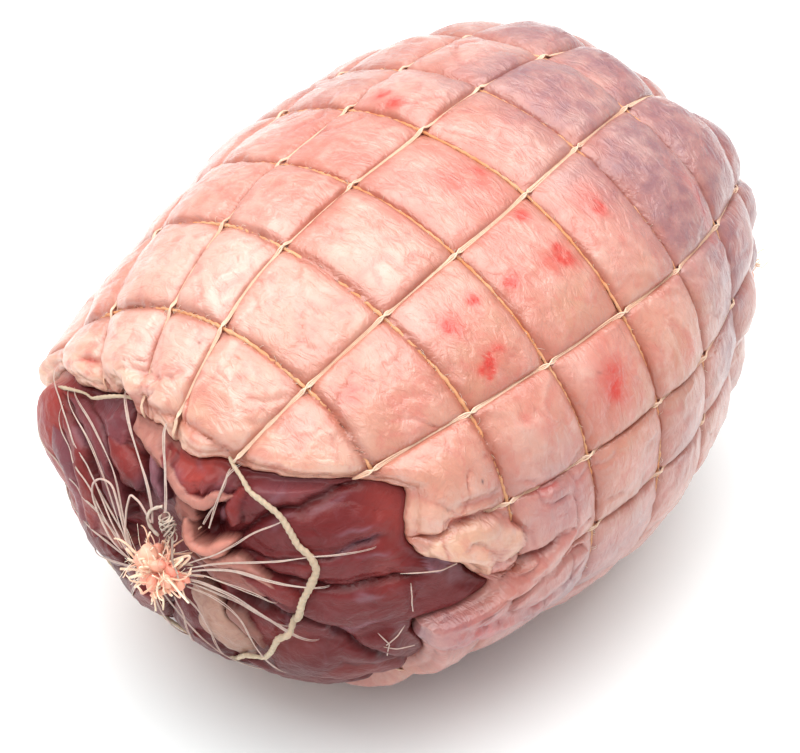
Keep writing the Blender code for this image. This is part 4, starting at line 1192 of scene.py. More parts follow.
# the meat as one closed body: shaped as far as the hem, then along under the skin's lining to the far tie
def makeMeat(material):
    angle = np.arange(meat["columns"])[None, :] * fullTurn / meat["columns"]
    hem = hemRun(angle)
    run = np.linspace(0, 1, meat["rows"] + 1)[1:, None] ** 0.9 * (hem + meat["behindHem"])
    run, angle = np.broadcast_arrays(run, angle)
    lift, tones = meatShape(run, angle)
    tucked = smooth(hem - 7.0, hem - 2.0, run)
    lift = lift * (1 - tucked) + np.minimum(lift, meat["tuck"]) * tucked
    dive = smooth(hem - 1.0, hem + 2.2, run)
    lift = lift * (1 - dive) + (liningLift(run) - meat["underSkin"]) * dive
    # painted shade just before the skin's edge, under its lip
    tones["deep"] = np.maximum(tones["deep"], 0.3 * smooth(hem - 2.4, hem - 1.2, run))
    rest = np.linspace(0, 1, meat["hiddenRows"] + 1)[1:, None]
    backRun = run[-1:] + (fullRun - 1.5 - run[-1:]) * rest
    back = onRoll(backRun, angle[-1:], liningLift(backRun) - meat["underSkin"])
    grid = np.concatenate([onRoll(run, angle, lift), back])
    tones = {key: np.concatenate([value, 0 * backRun]) for key, value in tones.items()}
    tones = {key: np.append(value, [0, 0]) for key, value in tones.items()}
    poles = [[grid[0].mean(0)], [onRoll(fullRun, 0, liningLift(fullRun) - 1.6)]]
    points = np.concatenate([grid.reshape(-1, 3), *poles])
    faces = ringFaces(len(grid), meat["columns"]) + poleFaces(len(points) - 2, 0, meat["columns"], True)
    faces += poleFaces(len(points) - 1, len(grid) - 1, meat["columns"], False)
    return makeObject("bareMeat", points, faces, material, "meat", tones, meat["sharpAngle"])


# hoops of thick elastic, and strands of three thin threads
cord = {
    "hoopRadii": (0.50, 0.48, 0.43, 0.40, 0.38),  # from the first hoop on, the rest as the last
    "hoopSamples": 860,
    "hoopSides": 8,
    "hoopLevel": -0.45,  # lift of a hoop's middle in its groove
    "hoopLift": 0.15,
    "hoopTwist": 2.6,  # mm to a turn of its two plies
    "hoopPly": 0.22,
    "rust": (0.6, 0.6, 0.6, 0.6, 0.38),
    "threadRadius": 0.225,
    "threadSamples": 390,
    "threadSides": 5,
    "threadGaps": (0.22, 0.24, 0.28, 0.36, 0.38, 0.36, 0.33, 0.30),  # by strand, the rest as the last
    "threadLevel": -0.05,
    "threadClimb": 0.85,  # rise of a strand over a hoop
    "threadStain": 0.46,
    "hemGuess": 55.0,
    # buried stretches of hoops by row: from, to (degrees) and how deep; strands by column: up to which run
    "buried": {3: ((49, 150, 4.6),), 4: ((77, 103, 3.0),)},
    "buriedStrands": {5: 78.0, 6: 103.0, 7: 92.0},
    "strandDepth": 3.2,
}
hoopRows = range(net["firstOnSkin"], lastRow + 1)


# value of a list by number, the last one again beyond its end
def heldAt(values, number):
    return values[min(number, len(values) - 1)]


# how deep a hoop lies buried; it dives over the degrees before and after each end of its stretch
def buriedDepth(row, angle, before, after):
    degrees = np.degrees(angle) % 360
    return sum(
        depth * smooth(low - before, low + after, degrees) * smooth(high + before, high - after, degrees)
        for low, high, depth in cord["buried"].get(row, ())
    )


# a painted field for every side of a tube, held between 0 and 1
def aroundTube(values, sides):
    return np.repeat(np.clip(values, 0, 1), sides)


# two-ply twist: the radius ripples as cos 2 (turn - twist along)
def makeHoops(material):
    parts, stains = [], []
    column = np.arange(cord["hoopSamples"]) / cord["hoopSamples"] * columnCount
    for number, row in enumerate(hoopRows):
        run, angle = netPlace(np.full(column.shape, float(row)), column)
        lift = cord["hoopLevel"] * fullness(run) + cord["hoopLift"] - buriedDepth(row, angle, 3, 2)
        out = outward(run, angle)
        path = onRoll(run, angle, lift)
        path = path + 0.16 * noise(path, 1.7, 91)[:, None] * out
        length = np.linalg.norm(np.diff(path, axis=0), axis=1).sum()
        turns = max(6, round(length / cord["hoopTwist"]))
        twist = fullTurn * turns * np.arange(len(path)) / len(path)
        radius = heldAt(cord["hoopRadii"], number) * (0.8 + 0.2 * fullness(run))
        radius = radius * (1 + 0.30 * noise(path, 1.0, 92 + row) + 0.15 * noise(path, 4.0, 99))
        parts.append(tubeMesh([path], [out], radius[None], cord["hoopSides"], True, (cord["hoopPly"], twist)))
        stain = heldAt(cord["rust"], number) + 0.5 * noise(path, 9, 93) + 0.3 * noise(path, 2, 94)
        stains.append(aroundTube(stain, cord["hoopSides"]))
    points, faces = joinParts(parts)
    return makeObject("netHoops", points, faces, material, "net", {"stain": np.concatenate(stains)})


# direction across a path, square to it and to the outward one
def sideways(path, out):
    return np.cross(unit(np.gradient(path, axis=0)), out)


# three threads side by side: the outer two change sides at every hoop, and all climb over it
def makeStrands(material):
    paths, outs, stains = [], [], []
    for column in range(columnCount):
        edge = float(rowOfRun(hemRun(angleOfColumn(float(column), cord["hemGuess"]))))
        row = np.linspace(edge + 0.02, lastRow, cord["threadSamples"])
        start = np.clip((row - row[0]) / 0.10, 0, 1)
        run, angle = netPlace(row, np.full(row.shape, float(column)))
        out, base, full = outward(run, angle), onRoll(run, angle, 0), fullness(run)
        across = sideways(base, out)
        gap = (row - np.round(row)) * net["rowPitch"]
        flip = np.where(np.round(row) % 2 == 0, 1.0, -1.0)
        climb = cord["threadClimb"] * bell(gap, 1.6) * full
        apart = heldAt(cord["threadGaps"], column) + 0.22 * bell(np.abs(gap) - 0.9, 0.8)
        apart = flip * np.tanh(gap / 1.2) * apart * (0.35 + 0.65 * full)
        limit = cord["buriedStrands"].get(column)
        sunk = cord["strandDepth"] * smooth(limit + 2.0, limit - 4.0, run) if limit else 0.0
        level = cord["threadLevel"] * full - 1.2 * (1 - start) ** 2 - sunk
        stain = cord["threadStain"] + 0.4 * noise(base, 12, 97) - 0.5 * bell(gap, 1.6)
        stain = aroundTube(stain, cord["threadSides"])
        for k in (-1, 0, 1):
            shift = (k * apart + 0.10 * noise(base, 6, 95 + k)) * start
            lift = level + climb * (1.0 if k else 0.8) + 0.05 * (k + 1)
            path = base + out * lift[:, None] + across * shift[:, None]
            path[:, 2] = np.maximum(path[:, 2], cord["threadRadius"])
            paths.append(path)
            outs.append(out)
            stains.append(stain)
    points, faces = tubeMesh(paths, outs, cord["threadRadius"], cord["threadSides"])
    return makeObject("netStrands", points, faces, material, "net", {"stain": np.concatenate(stains)})


# the loose ring of thick elastic at the bare end
loose = {
    "samples": 900,
    "sides": 10,
    "turns": 150,
    "ply": 0.10,
    # knots: run, degrees, lift and radius; it dips under the skin between two of them
    "knots": (
        (38.0, 22, -0.4, 0.45), (36.6, 34, 0.5, 0.6), (39.2, 48, 0.5, 0.75), (39.4, 61, 0.5, 0.8),
        (41.4, 66, 0.7, 0.85), (41.8, 72, 0.8, 0.9), (40.0, 77, 0.9, 0.95), (37.4, 86, 0.9, 0.9),
        (36.4, 97, 0.8, 0.9), (35.6, 101, -1.8, 0.8), (35.4, 104, -0.6, 0.8), (35.4, 109, 0.7, 0.8),
        (33.6, 114, 0.8, 0.8), (34.0, 120, 0.8, 0.75), (35.6, 130, 0.8, 0.7), (36.8, 136, 0.6, 0.6),
        (34.0, 142, 0.9, 0.6), (36.5, 150, 0.5, 0.55), (42.0, 159, 0.0, 0.5), (42, 172, 0.2, 0.5),
        (45, 190, 0.3, 0.5), (45, 205, 0.0, 0.5), (47, 222, 0.4, 0.5), (45, 240, 0.0, 0.5),
        (48, 256, 0.3, 0.5), (50, 270, -0.6, 0.5), (52, 282, -0.8, 0.45), (50, 292, -0.4, 0.45),
        (47.4, 298, 0.5, 0.45), (45, 303, -1.6, 0.3), (42.2, 309, 0.2, 0.3), (41.5, 314, 0.6, 0.48),
        (41.2, 321, 0.6, 0.5), (41.2, 328, 0.0, 0.45), (40.5, 340, -5.5, 0.5), (40, 352, -6.0, 0.5),
        (39.5, 366, -6.0, 0.5), (38.6, 376, -3.0, 0.5),
    ),
}


# interpolation with the corners rounded: a weighted mean of straight interpolation at nearby places
def softInterp(at, knots, values, reach=2.0):
    weights = ((-3, 1), (-1.5, 2), (0, 3), (1.5, 2), (3, 1))
    return sum(np.interp(at + k * reach / 3, knots, values) * weight for k, weight in weights) / 9


# the ring closes: its first and last knots are met again a whole turn on
def makeLooseRing(material):
    knots = np.array([(degrees, run, lift, radius) for run, degrees, lift, radius in loose["knots"]], float)
    first, turn = knots[0, 0], (360, 0, 0, 0)
    knots = np.concatenate([knots[-3:] - turn, knots, knots[:3] + turn])
    degrees = np.linspace(first, first + 360, loose["samples"], endpoint=False)
    run, lift, radius = (softInterp(degrees, knots[:, 0], knots[:, k]) for k in (1, 2, 3))
    out = outward(run, np.radians(degrees))
    path = onRoll(run, np.radians(degrees), lift)
    path = path + 0.14 * noise(path, 2.0, 101)[:, None] * out
    radius = radius * (1 + 0.13 * noise(path, 1.1, 102) + 0.08 * noise(path, 3.5, 104))
    twist = fullTurn * loose["turns"] * np.arange(len(path)) / len(path)
    points, faces = tubeMesh([path], [out], radius[None], loose["sides"], True, (loose["ply"], twist))
    stain = aroundTube(0.15 + 0.3 * noise(path, 7, 103), loose["sides"])
    return makeObject("netLooseRing", points, faces, material, "net", {"stain": stain})


# fan: the strands' threads drawn together from the skin's edge to the tie
fan = {
    "radius": 0.115,
    "bundle": 0.15,  # radius where three threads run together
    "bundleGap": 0.33,
    "wispRadius": 0.2,
    "samples": 64,
    "sides": 6,
    # knots (run, degrees, lift) and half the gap between the two threads of a pair
    "seen": (
        (
            (
                (49, -62, 0.8), (42.7, -62, 0.9), (31.4, -56, 0.8), (23.5, -54, 0.9), (17, -56, 1.2),
                (9, -68, 2.0), (3, -100, 3),
            ),
            0.30,
        ),
        (
            (
                (48, -60, 0.8), (44.2, -58, 0.8), (36.7, -53, 0.6), (28, -46, 0.4), (22, -42, 0.5),
                (12, -50, 1.5), (4, -80, 3),
            ),
            0.25,
        ),
        (((45.5, -66, 0.9), (40.5, -72, 1.0), (33, -73, 1.0), (22, -78, 0.8), (8, -100, 2.0)), 0.15),
        (
            (
                (44, -33, 0.2), (39.8, -30, 0.8), (30.2, -23, 0.8), (21, -13, 0.8), (15.1, -4, 1.2),
                (12, 0, 2.2),
            ),
            0.38,
        ),
        (
            ((40, -9, -0.2), (36.4, -9, 0.9), (28.2, -3, 1.0), (19.7, 4, 1.2), (16, 10, 1.8), (14, 14, 2.4)),
            0.38,
        ),
        (((40, 24, -0.2), (36.0, 23, 0.9), (30.8, 27, 0.6), (25, 32, 0.4), (21.5, 38, 0.2)), 0.30),
        (((37.3, 22, 0.6), (33.5, 25, 0.3), (27.5, 29, -0.2), (20, 33, -1.0)), 0.22),
        (((40.6, 49.5, 1.2), (31.3, 50, 0.6), (24.3, 53, 0.5), (18, 56, 0.8), (10, 62, 1.6)), 0.22),
        (
            (
                (57.4, 69, 0.3), (48, 67.5, 0.5), (40.1, 65, 1.6), (36.3, 66.5, 0.7), (28.2, 65, 0.6),
                (20, 62, 0.9), (10, 66, 1.8),
            ),
            0.20,
        ),
        (
            (
                (44.5, 81, 0.4), (38.8, 79, 1.6), (34.8, 78.5, 0.7), (28.5, 75, 0.5), (21.9, 69, 0.7),
                (13, 68, 1.4), (7, 80, 2.2),
            ),
            0.34,
        ),
        (((31.8, 93, 0.3), (27.4, 88, 0.4), (21.5, 82, 0.6), (14, 74, 1.2), (8, 84, 2.0)), 0.26),
        (
            (
                (43.5, 110, 0.3), (36.5, 109, 0.7), (28.3, 101, 0.6), (21.4, 91, 0.6), (12.6, 84, 1.2),
                (7, 92, 2),
            ),
            0.42,
        ),
        (((36, 106, 0.3), (28.6, 103, 0.5), (22, 96, 0.5), (12, 90, 1.2), (6, 98, 2)), 0.16),
        (
            (
                (50, 143, 0.3), (40.6, 139, 0.9), (32.8, 131, 0.6), (23.6, 110, 0.6), (17, 98, 0.9),
                (9, 98, 1.8),
            ),
            0.30,
        ),
        (((46, 163, 0.3), (37.4, 160, 0.9), (24.7, 146, 0.6), (15.6, 129, 0.9), (8, 118, 1.8)), 0.30),
        (((44, 176, 0.3), (29.7, 170, 0.7), (17.2, 154, 0.9), (9, 138, 1.8)), 0.22),
    ),
    # torn threads: knots (run, degrees, lift)
    "wisps": (
        ((62.2, 82, 0.7), (62.4, 87, 0.9), (62.8, 93, 0.5)),
        ((61.2, 98, 0.5), (59.8, 102, 0.9), (58, 107, 0.5)),
        ((57.5, 108, 0.4), (61, 108.5, 0.8), (65.5, 108, 0.4)),
        ((60, 78.5, 0.4), (65, 79.5, 0.9), (70, 80.5, 0.8), (74, 80, 0.4)),
        ((55, 101, 0.4), (58.5, 106, 0.8), (60, 113, 0.3)),
    ),
    # loose loops round the tie: knots (run, degrees, lift) and radius
    "loops": (
        (
            (
                (5, -104, 3.0), (12.8, -100, 1.8), (18.0, -88, 1.2), (21.6, -78, 1.4), (23.3, -67, 1.8),
                (22.9, -55, 1.9), (20.7, -45, 1.6), (15.6, -48, 1.3), (9.8, -58, 1.8), (4, -96, 3.0),
            ),
            0.36,
        ),
        (((5, -100, 3.0), (11.4, -78, 1.8), (18.4, -67, 1.4), (22.6, -61, 2.1)), 0.28),
        (
            (
                (5, -84, 3.0), (8.7, -62, 2.2), (13.9, -38, 1.7), (18.0, -27, 1.8), (16.6, -18, 1.8),
                (14.1, -10, 1.8), (12.6, -2, 2.2),
            ),
            0.33,
        ),
    ),
    "behind": 7,
    "behindGap": 0.34,
}


# routes of the fan's threads: knots, half gap and radius; those behind run from the hem to the tie
def fanRoutes():
    radii = (fan["radius"], fan["bundle"])
    routes = [(knots, gap, radii[gap > fan["bundleGap"]]) for knots, gap in fan["seen"]]
    routes += [(knots, 0.0, radius) for knots, radius in fan["loops"]]
    routes += [(knots, 0.0, fan["wispRadius"]) for knots in fan["wisps"]]
    for i in range(fan["behind"]):
        degrees = math.degrees(float(angleOfColumn(len(net["strands"]) + 1 + i, 40.0)))
        edge = float(hemRun(np.array(math.radians(degrees)))) + 1.5
        bend = degrees + 6 * math.sin(3.1 * i)
        turns = (degrees, degrees, bend, bend, degrees)
        knots = tuple(zip((edge, 38, 24, 12, 5), turns, (0.2, 0.9, 0.7, 1.2, 2.4)))
        routes.append((knots, fan["behindGap"], fan["radius"]))
    return routes


# each route carries one, two or three threads, which lie on the meat and part and meet as cos^2 along it
def makeFan(material):
    paths, outs, radii, stains = [], [], [], []
    for knots, gap, radius in fanRoutes():
        run, angle, lift = flatRoute(knots, fan["samples"], 5 if gap else 2)
        along = np.linspace(0, 1, len(run))
        ground = meatShape(run, angle)[0] if gap else lift - 9
        ground = np.where(radiusAt(run) > 8, ground + 0.15, lift)
        lift = evened(np.maximum(lift, ground), 3)
        base = onRoll(run, angle, lift - (1.1 * (1 - along * 7).clip(0, 1) ** 2 if gap else 0))
        out = outward(run, angle)
        across = sideways(base, out)
        for k in ((-1, 0, 1) if gap > fan["bundleGap"] else (-1, 1) if gap else (0,)):
            shift = k * gap * np.cos(along * 5 + len(paths)) ** 2 + 0.10 * noise(base, 5, 111 + k)
            paths.append(base + across * shift[:, None] + out * (0.10 * noise(base, 6, 113 + k))[:, None])
            outs.append(out)
            taper = 0.25 + 0.75 * np.clip(along * 5, 0, 1)
            radii.append((radius if gap else 0.8 * radius) * taper * (1 + 0.15 * noise(base, 2, 115)))
            stains.append(aroundTube(0.35 * noise(base, 10, 116) + 0.15, fan["sides"]))
    points, faces = tubeMesh(paths, outs, radii, fan["sides"])
    return makeObject("netFan", points, faces, material, "net", {"stain": np.concatenate(stains)})


# frayed tufts where the net is tied off: lumps, noodles, fine fibres and loops that burst from a core line
tufts = {
    "near": {
        "core": ((-96.5, 0.4, 69.0), (-100.0, -1.2, 70.5), (-102.3, -3.8, 70.5), (-103.0, -6.6, 69.5)),
        "spread": 6.8,
        "counts": {"lumps": 34, "noodles": 80, "fibres": 50, "loops": 9},
        "drift": (-0.35, 0.75, 0.05),
        "seed": 21,
    },
    "far": {
        "core": ((97.5, -21.5, 57.0), (105.0, -22.5, 56.5), (107.0, -28.0, 50.5), (106.0, -34.5, 43.5)),
        "spread": 4.4,
        "counts": {"lumps": 12, "noodles": 30, "fibres": 36, "loops": 8},
        "drift": (0.0, -0.2, -0.8),
        "seed": 22,
    },
    # each kind: samples, sides, length from and to, curl, wave, drift, seed step, thickness over width
    "kinds": {
        "lumps": (16, 14, (0.4, 0.75), 1.5, 0.12, 0.3, 0, 0.65),
        "noodles": (20, 7, (0.45, 0.78), 2.8, 0.40, 0.7, 5, 0.7),
        "fibres": (14, 5, (0.7, 1.15), 1.4, 0.14, 1.6, 10, 1.0),
        "loops": (18, 6, (0.85, 1.25), 0.3, 0.0, 0.8, 20, 1.0),
    },
    "limit": 112.0,
}


# one burst: path = start + length * (t * way + curl * t^2 * side + wave * t * sin) for each of its members
def burst(spec, count, samples, length, curl, wave, drift, seed, looped):
    rng = np.random.default_rng(seed)
    core = np.array(spec["core"])
    spot = rng.uniform(0.35, 1.0, count) * (len(core) - 1)
    start = np.stack([np.interp(spot, np.arange(len(core)), core[:, k]) for k in range(3)], -1)
    ahead = unit(core[-1] - core[0])
    away = squareTo(rng.normal(size=(count, 3)), ahead)
    lean = rng.uniform(0.1, 0.9, count)[:, None]
    way = ahead * lean + away * np.sqrt(1 - lean**2)
    way = unit(way + drift * np.array(spec["drift"]) * rng.uniform(0, 1.6, count)[:, None])
    other = unit(np.cross(way, rng.normal(size=(count, 3))))
    third = np.cross(way, other)
    way, other, third = way[:, None], other[:, None], third[:, None]
    t = np.linspace(0, 1, samples)[None, :, None]
    far = rng.uniform(*length, count)[:, None, None] * spec["spread"]
    bend = rng.uniform(-curl, curl, count)[:, None, None]
    phase = rng.uniform(0, 6.3, count)[:, None, None]
    if looped:
        path = way * np.sin(math.pi * t) + other * 0.34 * (t - 0.5) + third * bend * t
    else:
        path = way * t * (1 - 0.35 * np.abs(bend) * t)
        path = path + other * (bend * t**2 + wave * np.cos(8 * t + phase) * t)
        path = path + third * wave * np.sin(7 * t + phase) * t
    path = start[:, None] + far * path
    path[..., 0] = np.clip(path[..., 0], -tufts["limit"], tufts["limit"])
    outs = np.broadcast_to(third, path.shape)
    return path, outs, rng.uniform(0, 1, count)[:, None], rng.uniform(0.7, 1.3, count)[:, None]


# half width and tone along the members of a burst
def tuftWidth(kind, spec, path, tone, size):
    t = np.linspace(0, 1, path.shape[1])
    small = spec["spread"] / 6.4
    if kind == "lumps":
        wide = 1.7 * small * size * np.clip(1 - (2 * t - 1) ** 6, 0.03, 1) ** 0.5
        wide = wide * (1 + 0.5 * noise(path, 1.4, spec["seed"]) + 0.3 * noise(path, 0.6, 146))
        return wide, 0.40 * tone + 0.35 * noise(path, 2.2, 144)
    if kind == "noodles":
        wide = 0.33 * small * size * (1.2 - 0.5 * t) * (1 + 0.25 * noise(path, 1.2, 145))
        return wide, 0.30 * tone + 0.65 * t**1.2
    if kind == "fibres":
        return 0.09 * size * (1.15 - 0.6 * t), 0.8 + 0.2 * tone + 0 * t
    return 0.26 * size + 0 * t, 0.7 + 0.3 * tone + 0 * t


# soft lumps in the middle, curled noodles over them, fine fibres and loops round them
def makeTuft(name, material):
    spec = tufts[name]
    parts, tones = [], []
    for kind, (samples, sides, length, curl, wave, drift, step, flat) in tufts["kinds"].items():
        path, outs, tone, size = burst(spec, spec["counts"][kind], samples, length, curl, wave, drift,
                                       spec["seed"] + step, kind == "loops")
        wide, tone = tuftWidth(kind, spec, path, tone, size)
        parts.append(tubeMesh(path, outs, wide, sides, flat=flat))
        tones.append(aroundTube(tone, sides))
    points, faces = joinParts(parts)
    return makeObject(name + "Tuft", points, faces, material, "net", {"tone": np.concatenate(tones)})


# fuzz: fine fibres that stand off the hoops, more of them on the first
fuzz = {
    "perHoop": (460, 380, 220, 120, 80, 60),
    "samples": 6,
    "length": (0.5, 1.7),
    "radius": 0.05,
    "lift": 0.1,
    "floor": 0.1,
    "seed": 31,
}


# each fibre: start + length * (side * t + up * rise * sin 2.2 t + bend * t^2)
def makeFuzz(material):
    rng = np.random.default_rng(fuzz["seed"])
    paths, outs = [], []
    t = np.linspace(0, 1, fuzz["samples"])[None, :, None]
    for number, row in enumerate(hoopRows):
        count = heldAt(fuzz["perHoop"], number)
        column = rng.uniform(0, columnCount, count)
        run, angle = netPlace(np.full(count, float(row)), column)
        lift = (cord["hoopLevel"] + fuzz["lift"]) * fullness(run) - buriedDepth(row, angle, 5, 0)
        start, up = onRoll(run, angle, lift), outward(run, angle)
        side = squareTo(rng.normal(size=(count, 3)), up)
        far = rng.uniform(*fuzz["length"], count)[:, None, None]
        bend = rng.uniform(-0.8, 0.8, count)[:, None, None]
        third = np.cross(side, up)[:, None]
        rise = rng.uniform(0.25, 0.9, count)[:, None, None]
        path = side[:, None] * t + up[:, None] * rise * np.sin(2.2 * t) + third * bend * t**2
        path = start[:, None] + far * path
        path[..., 2] = np.maximum(path[..., 2], fuzz["floor"])
        paths.append(path)
        outs.append(np.broadcast_to(third, path.shape))
    points, faces = tubeMesh(np.concatenate(paths), np.concatenate(outs), fuzz["radius"], 3)
    return makeObject("netFuzz", points, faces, material, "net", {"stain": np.zeros(len(points))})


# coil: one thread wound round a bundle of cords, then a free end across the tuft and a ring beside it
coil = {
    # run, degrees and lift of both ends of the bundle
    "foot": (13.6, 23.0, 2.4),
    "head": (17.2, 9.0, 2.8),
    # turns, radius, thread radius, lean, seed
    "windings": ((4.6, 1.45, 0.22, 0.0, 121), (4.1, 1.6, 0.14, 1.9, 122), (3.3, 1.35, 0.18, 4.1, 123)),
    "samplesPerTurn": 46,
    "core": 1.0,
    "coreSides": 12,
    "coreSamples": 24,
    "end": ((10.6, 40, 3.8), (10.4, 56, 4.4), (9.6, 78, 4.4), (9.0, 104, 4.0)),
    "endRadii": (0.32, 0.2),
    "ring": (
        (18.5, 6, 1.4), (17.2, -3, 2.0), (14.8, -9, 2.2), (12.2, -9, 2.2), (10.6, 0, 2.0), (10.2, 14, 1.6),
    ),
    "ringRadius": 0.40,
    "samples": 40,
}


# windings round an axis: each turns about it at its own lean and strays by noise
def makeCoil(material):
    foot, head, *rest = (onRoll(run, math.radians(degrees), lift)
                         for run, degrees, lift in (coil["foot"], coil["head"], *coil["end"]))
    axis = unit(head - foot)
    far = float(np.linalg.norm(head - foot))
    one = unit(np.cross(axis, (0.0, 0.0, 1.0)))
    two = np.cross(axis, one)
    parts, tail = [], rest
    for turns, wide, thread, lean, seed in coil["windings"]:
        t = np.linspace(0, 1, round(coil["samplesPerTurn"] * turns))
        turn = fullTurn * turns * t + lean
        stray = noise(np.stack([turn / 2.2, 0 * t, 0 * t], -1), 1.0, seed)
        other = noise(np.stack([turn / 4.5, 0 * t + 5, 0 * t], -1), 1.0, seed + 8)
        radius = wide * (1 + 0.14 * stray + 0.16 * other) * (0.78 + 0.30 * np.sin(math.pi * t) ** 0.7)
        tilt = 0.9 * np.cos(turn + lean + other) + 0.6 * stray
        around = np.cos(turn)[:, None] * one + np.sin(turn)[:, None] * two
        path = foot + axis * (far * t + tilt)[:, None] + radius[:, None] * around
        parts.append(tubeMesh([path], [around], thread * (1 + 0.25 * stray)[None], 7))
        tail = [path[0], *rest] if tail is rest else tail
    tail = np.array(tail)
    at = np.linspace(0, len(tail) - 1, coil["samples"])
    tail = np.stack([softInterp(at, np.arange(len(tail)), tail[:, k], 0.6) for k in range(3)], -1)
    tail = tail + 0.35 * noiseVector(tail, 3, 122)
    radius = np.linspace(*coil["endRadii"], coil["samples"])
    parts.append(tubeMesh([tail], [np.broadcast_to(one, tail.shape)], radius[None], 7))
    run, angle, lift = flatRoute(coil["ring"], coil["samples"])
    radius = coil["ringRadius"] + 0.06 * np.cos(np.arange(coil["samples"]) * 0.9)
    parts.append(tubeMesh([onRoll(run, angle, lift)], [outward(run, angle)], radius[None], 8))
    s = np.linspace(-0.1, 1.1, coil["coreSamples"])
    core = foot + axis * (far * s)[:, None]
    radius = coil["core"] * np.sin(math.pi * (s + 0.12) / 1.24) ** 0.5
    parts.append(tubeMesh([core], [np.broadcast_to(one, core.shape)], radius[None], coil["coreSides"]))
    points, faces = joinParts(parts)
    inside = np.zeros(len(points))
    inside[-len(s) * coil["coreSides"]:] = 1.0
    stain = np.clip(0.30 + 0.5 * noise(points, 1.6, 125) + inside, 0, 1)
    return makeObject("tieCoil", points, faces, material, "tie_thread", {"stain": stain})


tuftLook = {
    "ground": (0.74, 0.26, 0.19),
    "pink": (0.82, 0.42, 0.30),
    "cream": (0.84, 0.66, 0.50),
    "red": (0.66, 0.16, 0.11),
    "layers": (
        ("pink", "", 1, "tone", (0.05, 0.40)),
        ("cream", "", 1, "tone", (0.45, 0.85)),
        ("red", "", 1, "mottle", (0.5, 0.75, 0.0, 0.5)),
    ),
    "finish": {
        "Roughness": 0.45, "Subsurface Weight": 0.3, "Subsurface Radius": (1.0, 0.45, 0.3),
        "Subsurface Scale": 0.0015,
    },
}


def tuftMaterial():
    material, tree, shader = newMaterial("frayedElastic", tuftLook["finish"])
    textures = {"tone": readField(tree, "tone"), "mottle": noiseNode(tree, 500, 3)}
    layColours(tree, shader, tuftLook, textures)
    tree.links.new(bumpNode(tree, noiseNode(tree, 1500, 3), 0.5, 0.15), shader.inputs["Normal"])
    return material


camera = {
    "target": (-5.2, 0.0, 60.7),
    "azimuth": -55.1,
    "elevation": 42.0,
    "roll": 4.0,
    "distance": 830.0,
    "lens": 149.4,
    "sensor": 36.0,
}


def addToScene(name, data):
    made = bpy.data.objects.new(name, data)
    bpy.context.scene.collection.objects.link(made)
    made.rotation_mode = "QUATERNION"
    return made


# camera on a sphere round its target, turned about its own line of sight by the roll
def makeCamera():
    data = bpy.data.cameras.new("photoCamera")
    made = addToScene("photoCamera", data)
    data.lens, data.sensor_width = camera["lens"], camera["sensor"]
    data.clip_start, data.clip_end = 0.05, 20
    a, e, r = (math.radians(camera[key]) for key in ("azimuth", "elevation", "roll"))
    back = Vector((math.sin(a) * math.cos(e), -math.cos(a) * math.cos(e), math.sin(e)))
    right = Vector((math.cos(a), math.sin(a), 0))
    up = back.cross(right)
    turnedRight = right * math.cos(r) + up * math.sin(r)
    turnedUp = up * math.cos(r) - right * math.sin(r)
    made.rotation_quaternion = Matrix((turnedRight, turnedUp, back)).transposed().to_quaternion()
    made.location = Vector(camera["target"]) * mm + back * camera["distance"] * mm
    bpy.context.scene.camera = made


lights = {
    "top": {"place": (-0.02, 0.10, 1.28), "size": 1.8, "power": 35.5, "colour": (1.0, 0.99, 0.97)},
    "side": {"place": (-0.85, 0.0, 1.0), "size": 0.5, "power": 3.0, "colour": (1.0, 1.0, 1.0)},
    "aim": (0, 0, 0.05),
    "world": 0.62,
}


def makeLights():
    for name in ("top", "side"):
        spec = lights[name]
        data = bpy.data.lights.new(name, "AREA")
        data.size, data.energy, data.color = spec["size"], spec["power"], spec["colour"]
        made = addToScene(name, data)
        made.location = spec["place"]
        made.rotation_quaternion = (Vector(lights["aim"]) - made.location).to_track_quat("-Z", "Y")
    world = bpy.data.worlds.new("paleStudio")
    world.use_nodes = True
    world.node_tree.nodes["Background"].inputs["Color"].default_value = (1, 1, 1, 1)
    world.node_tree.nodes["Background"].inputs["Strength"].default_value = lights["world"]
    bpy.context.scene.world = world
    bpy.context.scene.view_settings.view_transform = "Standard"


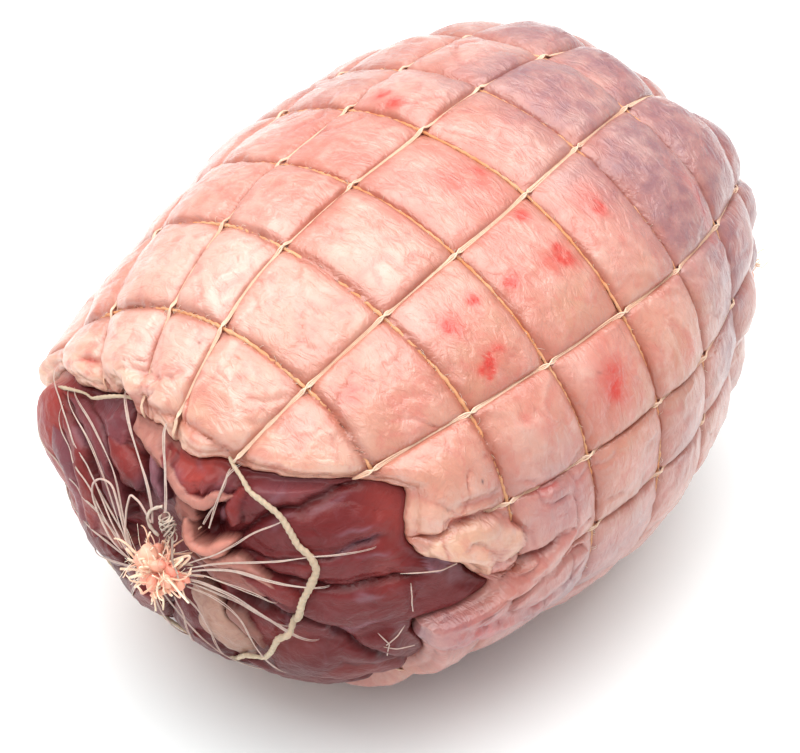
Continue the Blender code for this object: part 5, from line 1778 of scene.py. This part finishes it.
def makeFloor():
    mesh = bpy.data.meshes.new("floor")
    mesh.from_pydata([(-6, -6, 0), (6, -6, 0), (6, 6, 0), (-6, 6, 0)], [], [(0, 1, 2, 3)])
    finish = {"Base Color": (0.86, 0.905, 0.915, 1), "Roughness": 0.7}
    mesh.materials.append(newMaterial("paleFloor", finish)[0])
    floor = bpy.data.objects.new("floor", mesh)
    bpy.context.scene.collection.objects.link(floor)


# materials of the cords: colour, stain and roughness
cordLooks = {
    "coveredElastic": ((0.69, 0.39, 0.22), (0.55, 0.21, 0.08), 0.75),
    "knitThreads": ((0.79, 0.56, 0.42), (0.60, 0.31, 0.20), 0.65),
    "creamElastic": ((0.528, 0.416, 0.296), (0.368, 0.24, 0.168), 0.8),
    "paleThreads": ((0.58, 0.44, 0.38), (0.40, 0.24, 0.21), 0.6),
    "paleFuzz": ((0.688, 0.56, 0.464), (0.688, 0.56, 0.464), 0.8),
    "greyThread": ((0.60, 0.50, 0.41), (0.16, 0.07, 0.06), 0.7),
}

print("materials")
cords = {name: cordMaterial(name, *look) for name, look in cordLooks.items()}
frayed = tuftMaterial()
rawSkin = skinMaterial()
print("skin")
hemStart = rowOfRun(hemRun(angleOfColumn(gridColumns(), skin["hemGuess"])) + skin["lip"])
firstSeam, secondSeam, lastSeam = skin["seams"]
fromHem = np.linspace(0, 1, skin["hemRows"])[:, None]
makeSkinBand("skinNear", hemStart + (firstSeam - hemStart) * fromHem, rawSkin)
middleSteps = (secondSeam - firstSeam) * skin["cellRows"]
makeSkinBand("skinMiddle", bandRows(firstSeam, secondSeam, middleSteps), rawSkin)
makeSkinBand("skinFar", bandRows(secondSeam, lastSeam, skin["farRows"]), rawSkin)
print("meat")
makeMeat(meatMaterial())
print("net")
makeHoops(cords["coveredElastic"])
makeStrands(cords["knitThreads"])
makeLooseRing(cords["creamElastic"])
makeFan(cords["paleThreads"])
makeFuzz(cords["paleFuzz"])
makeTuft("near", frayed)
makeTuft("far", frayed)
makeCoil(cords["greyThread"])
print("studio")
makeCamera()
makeLights()
makeFloor()
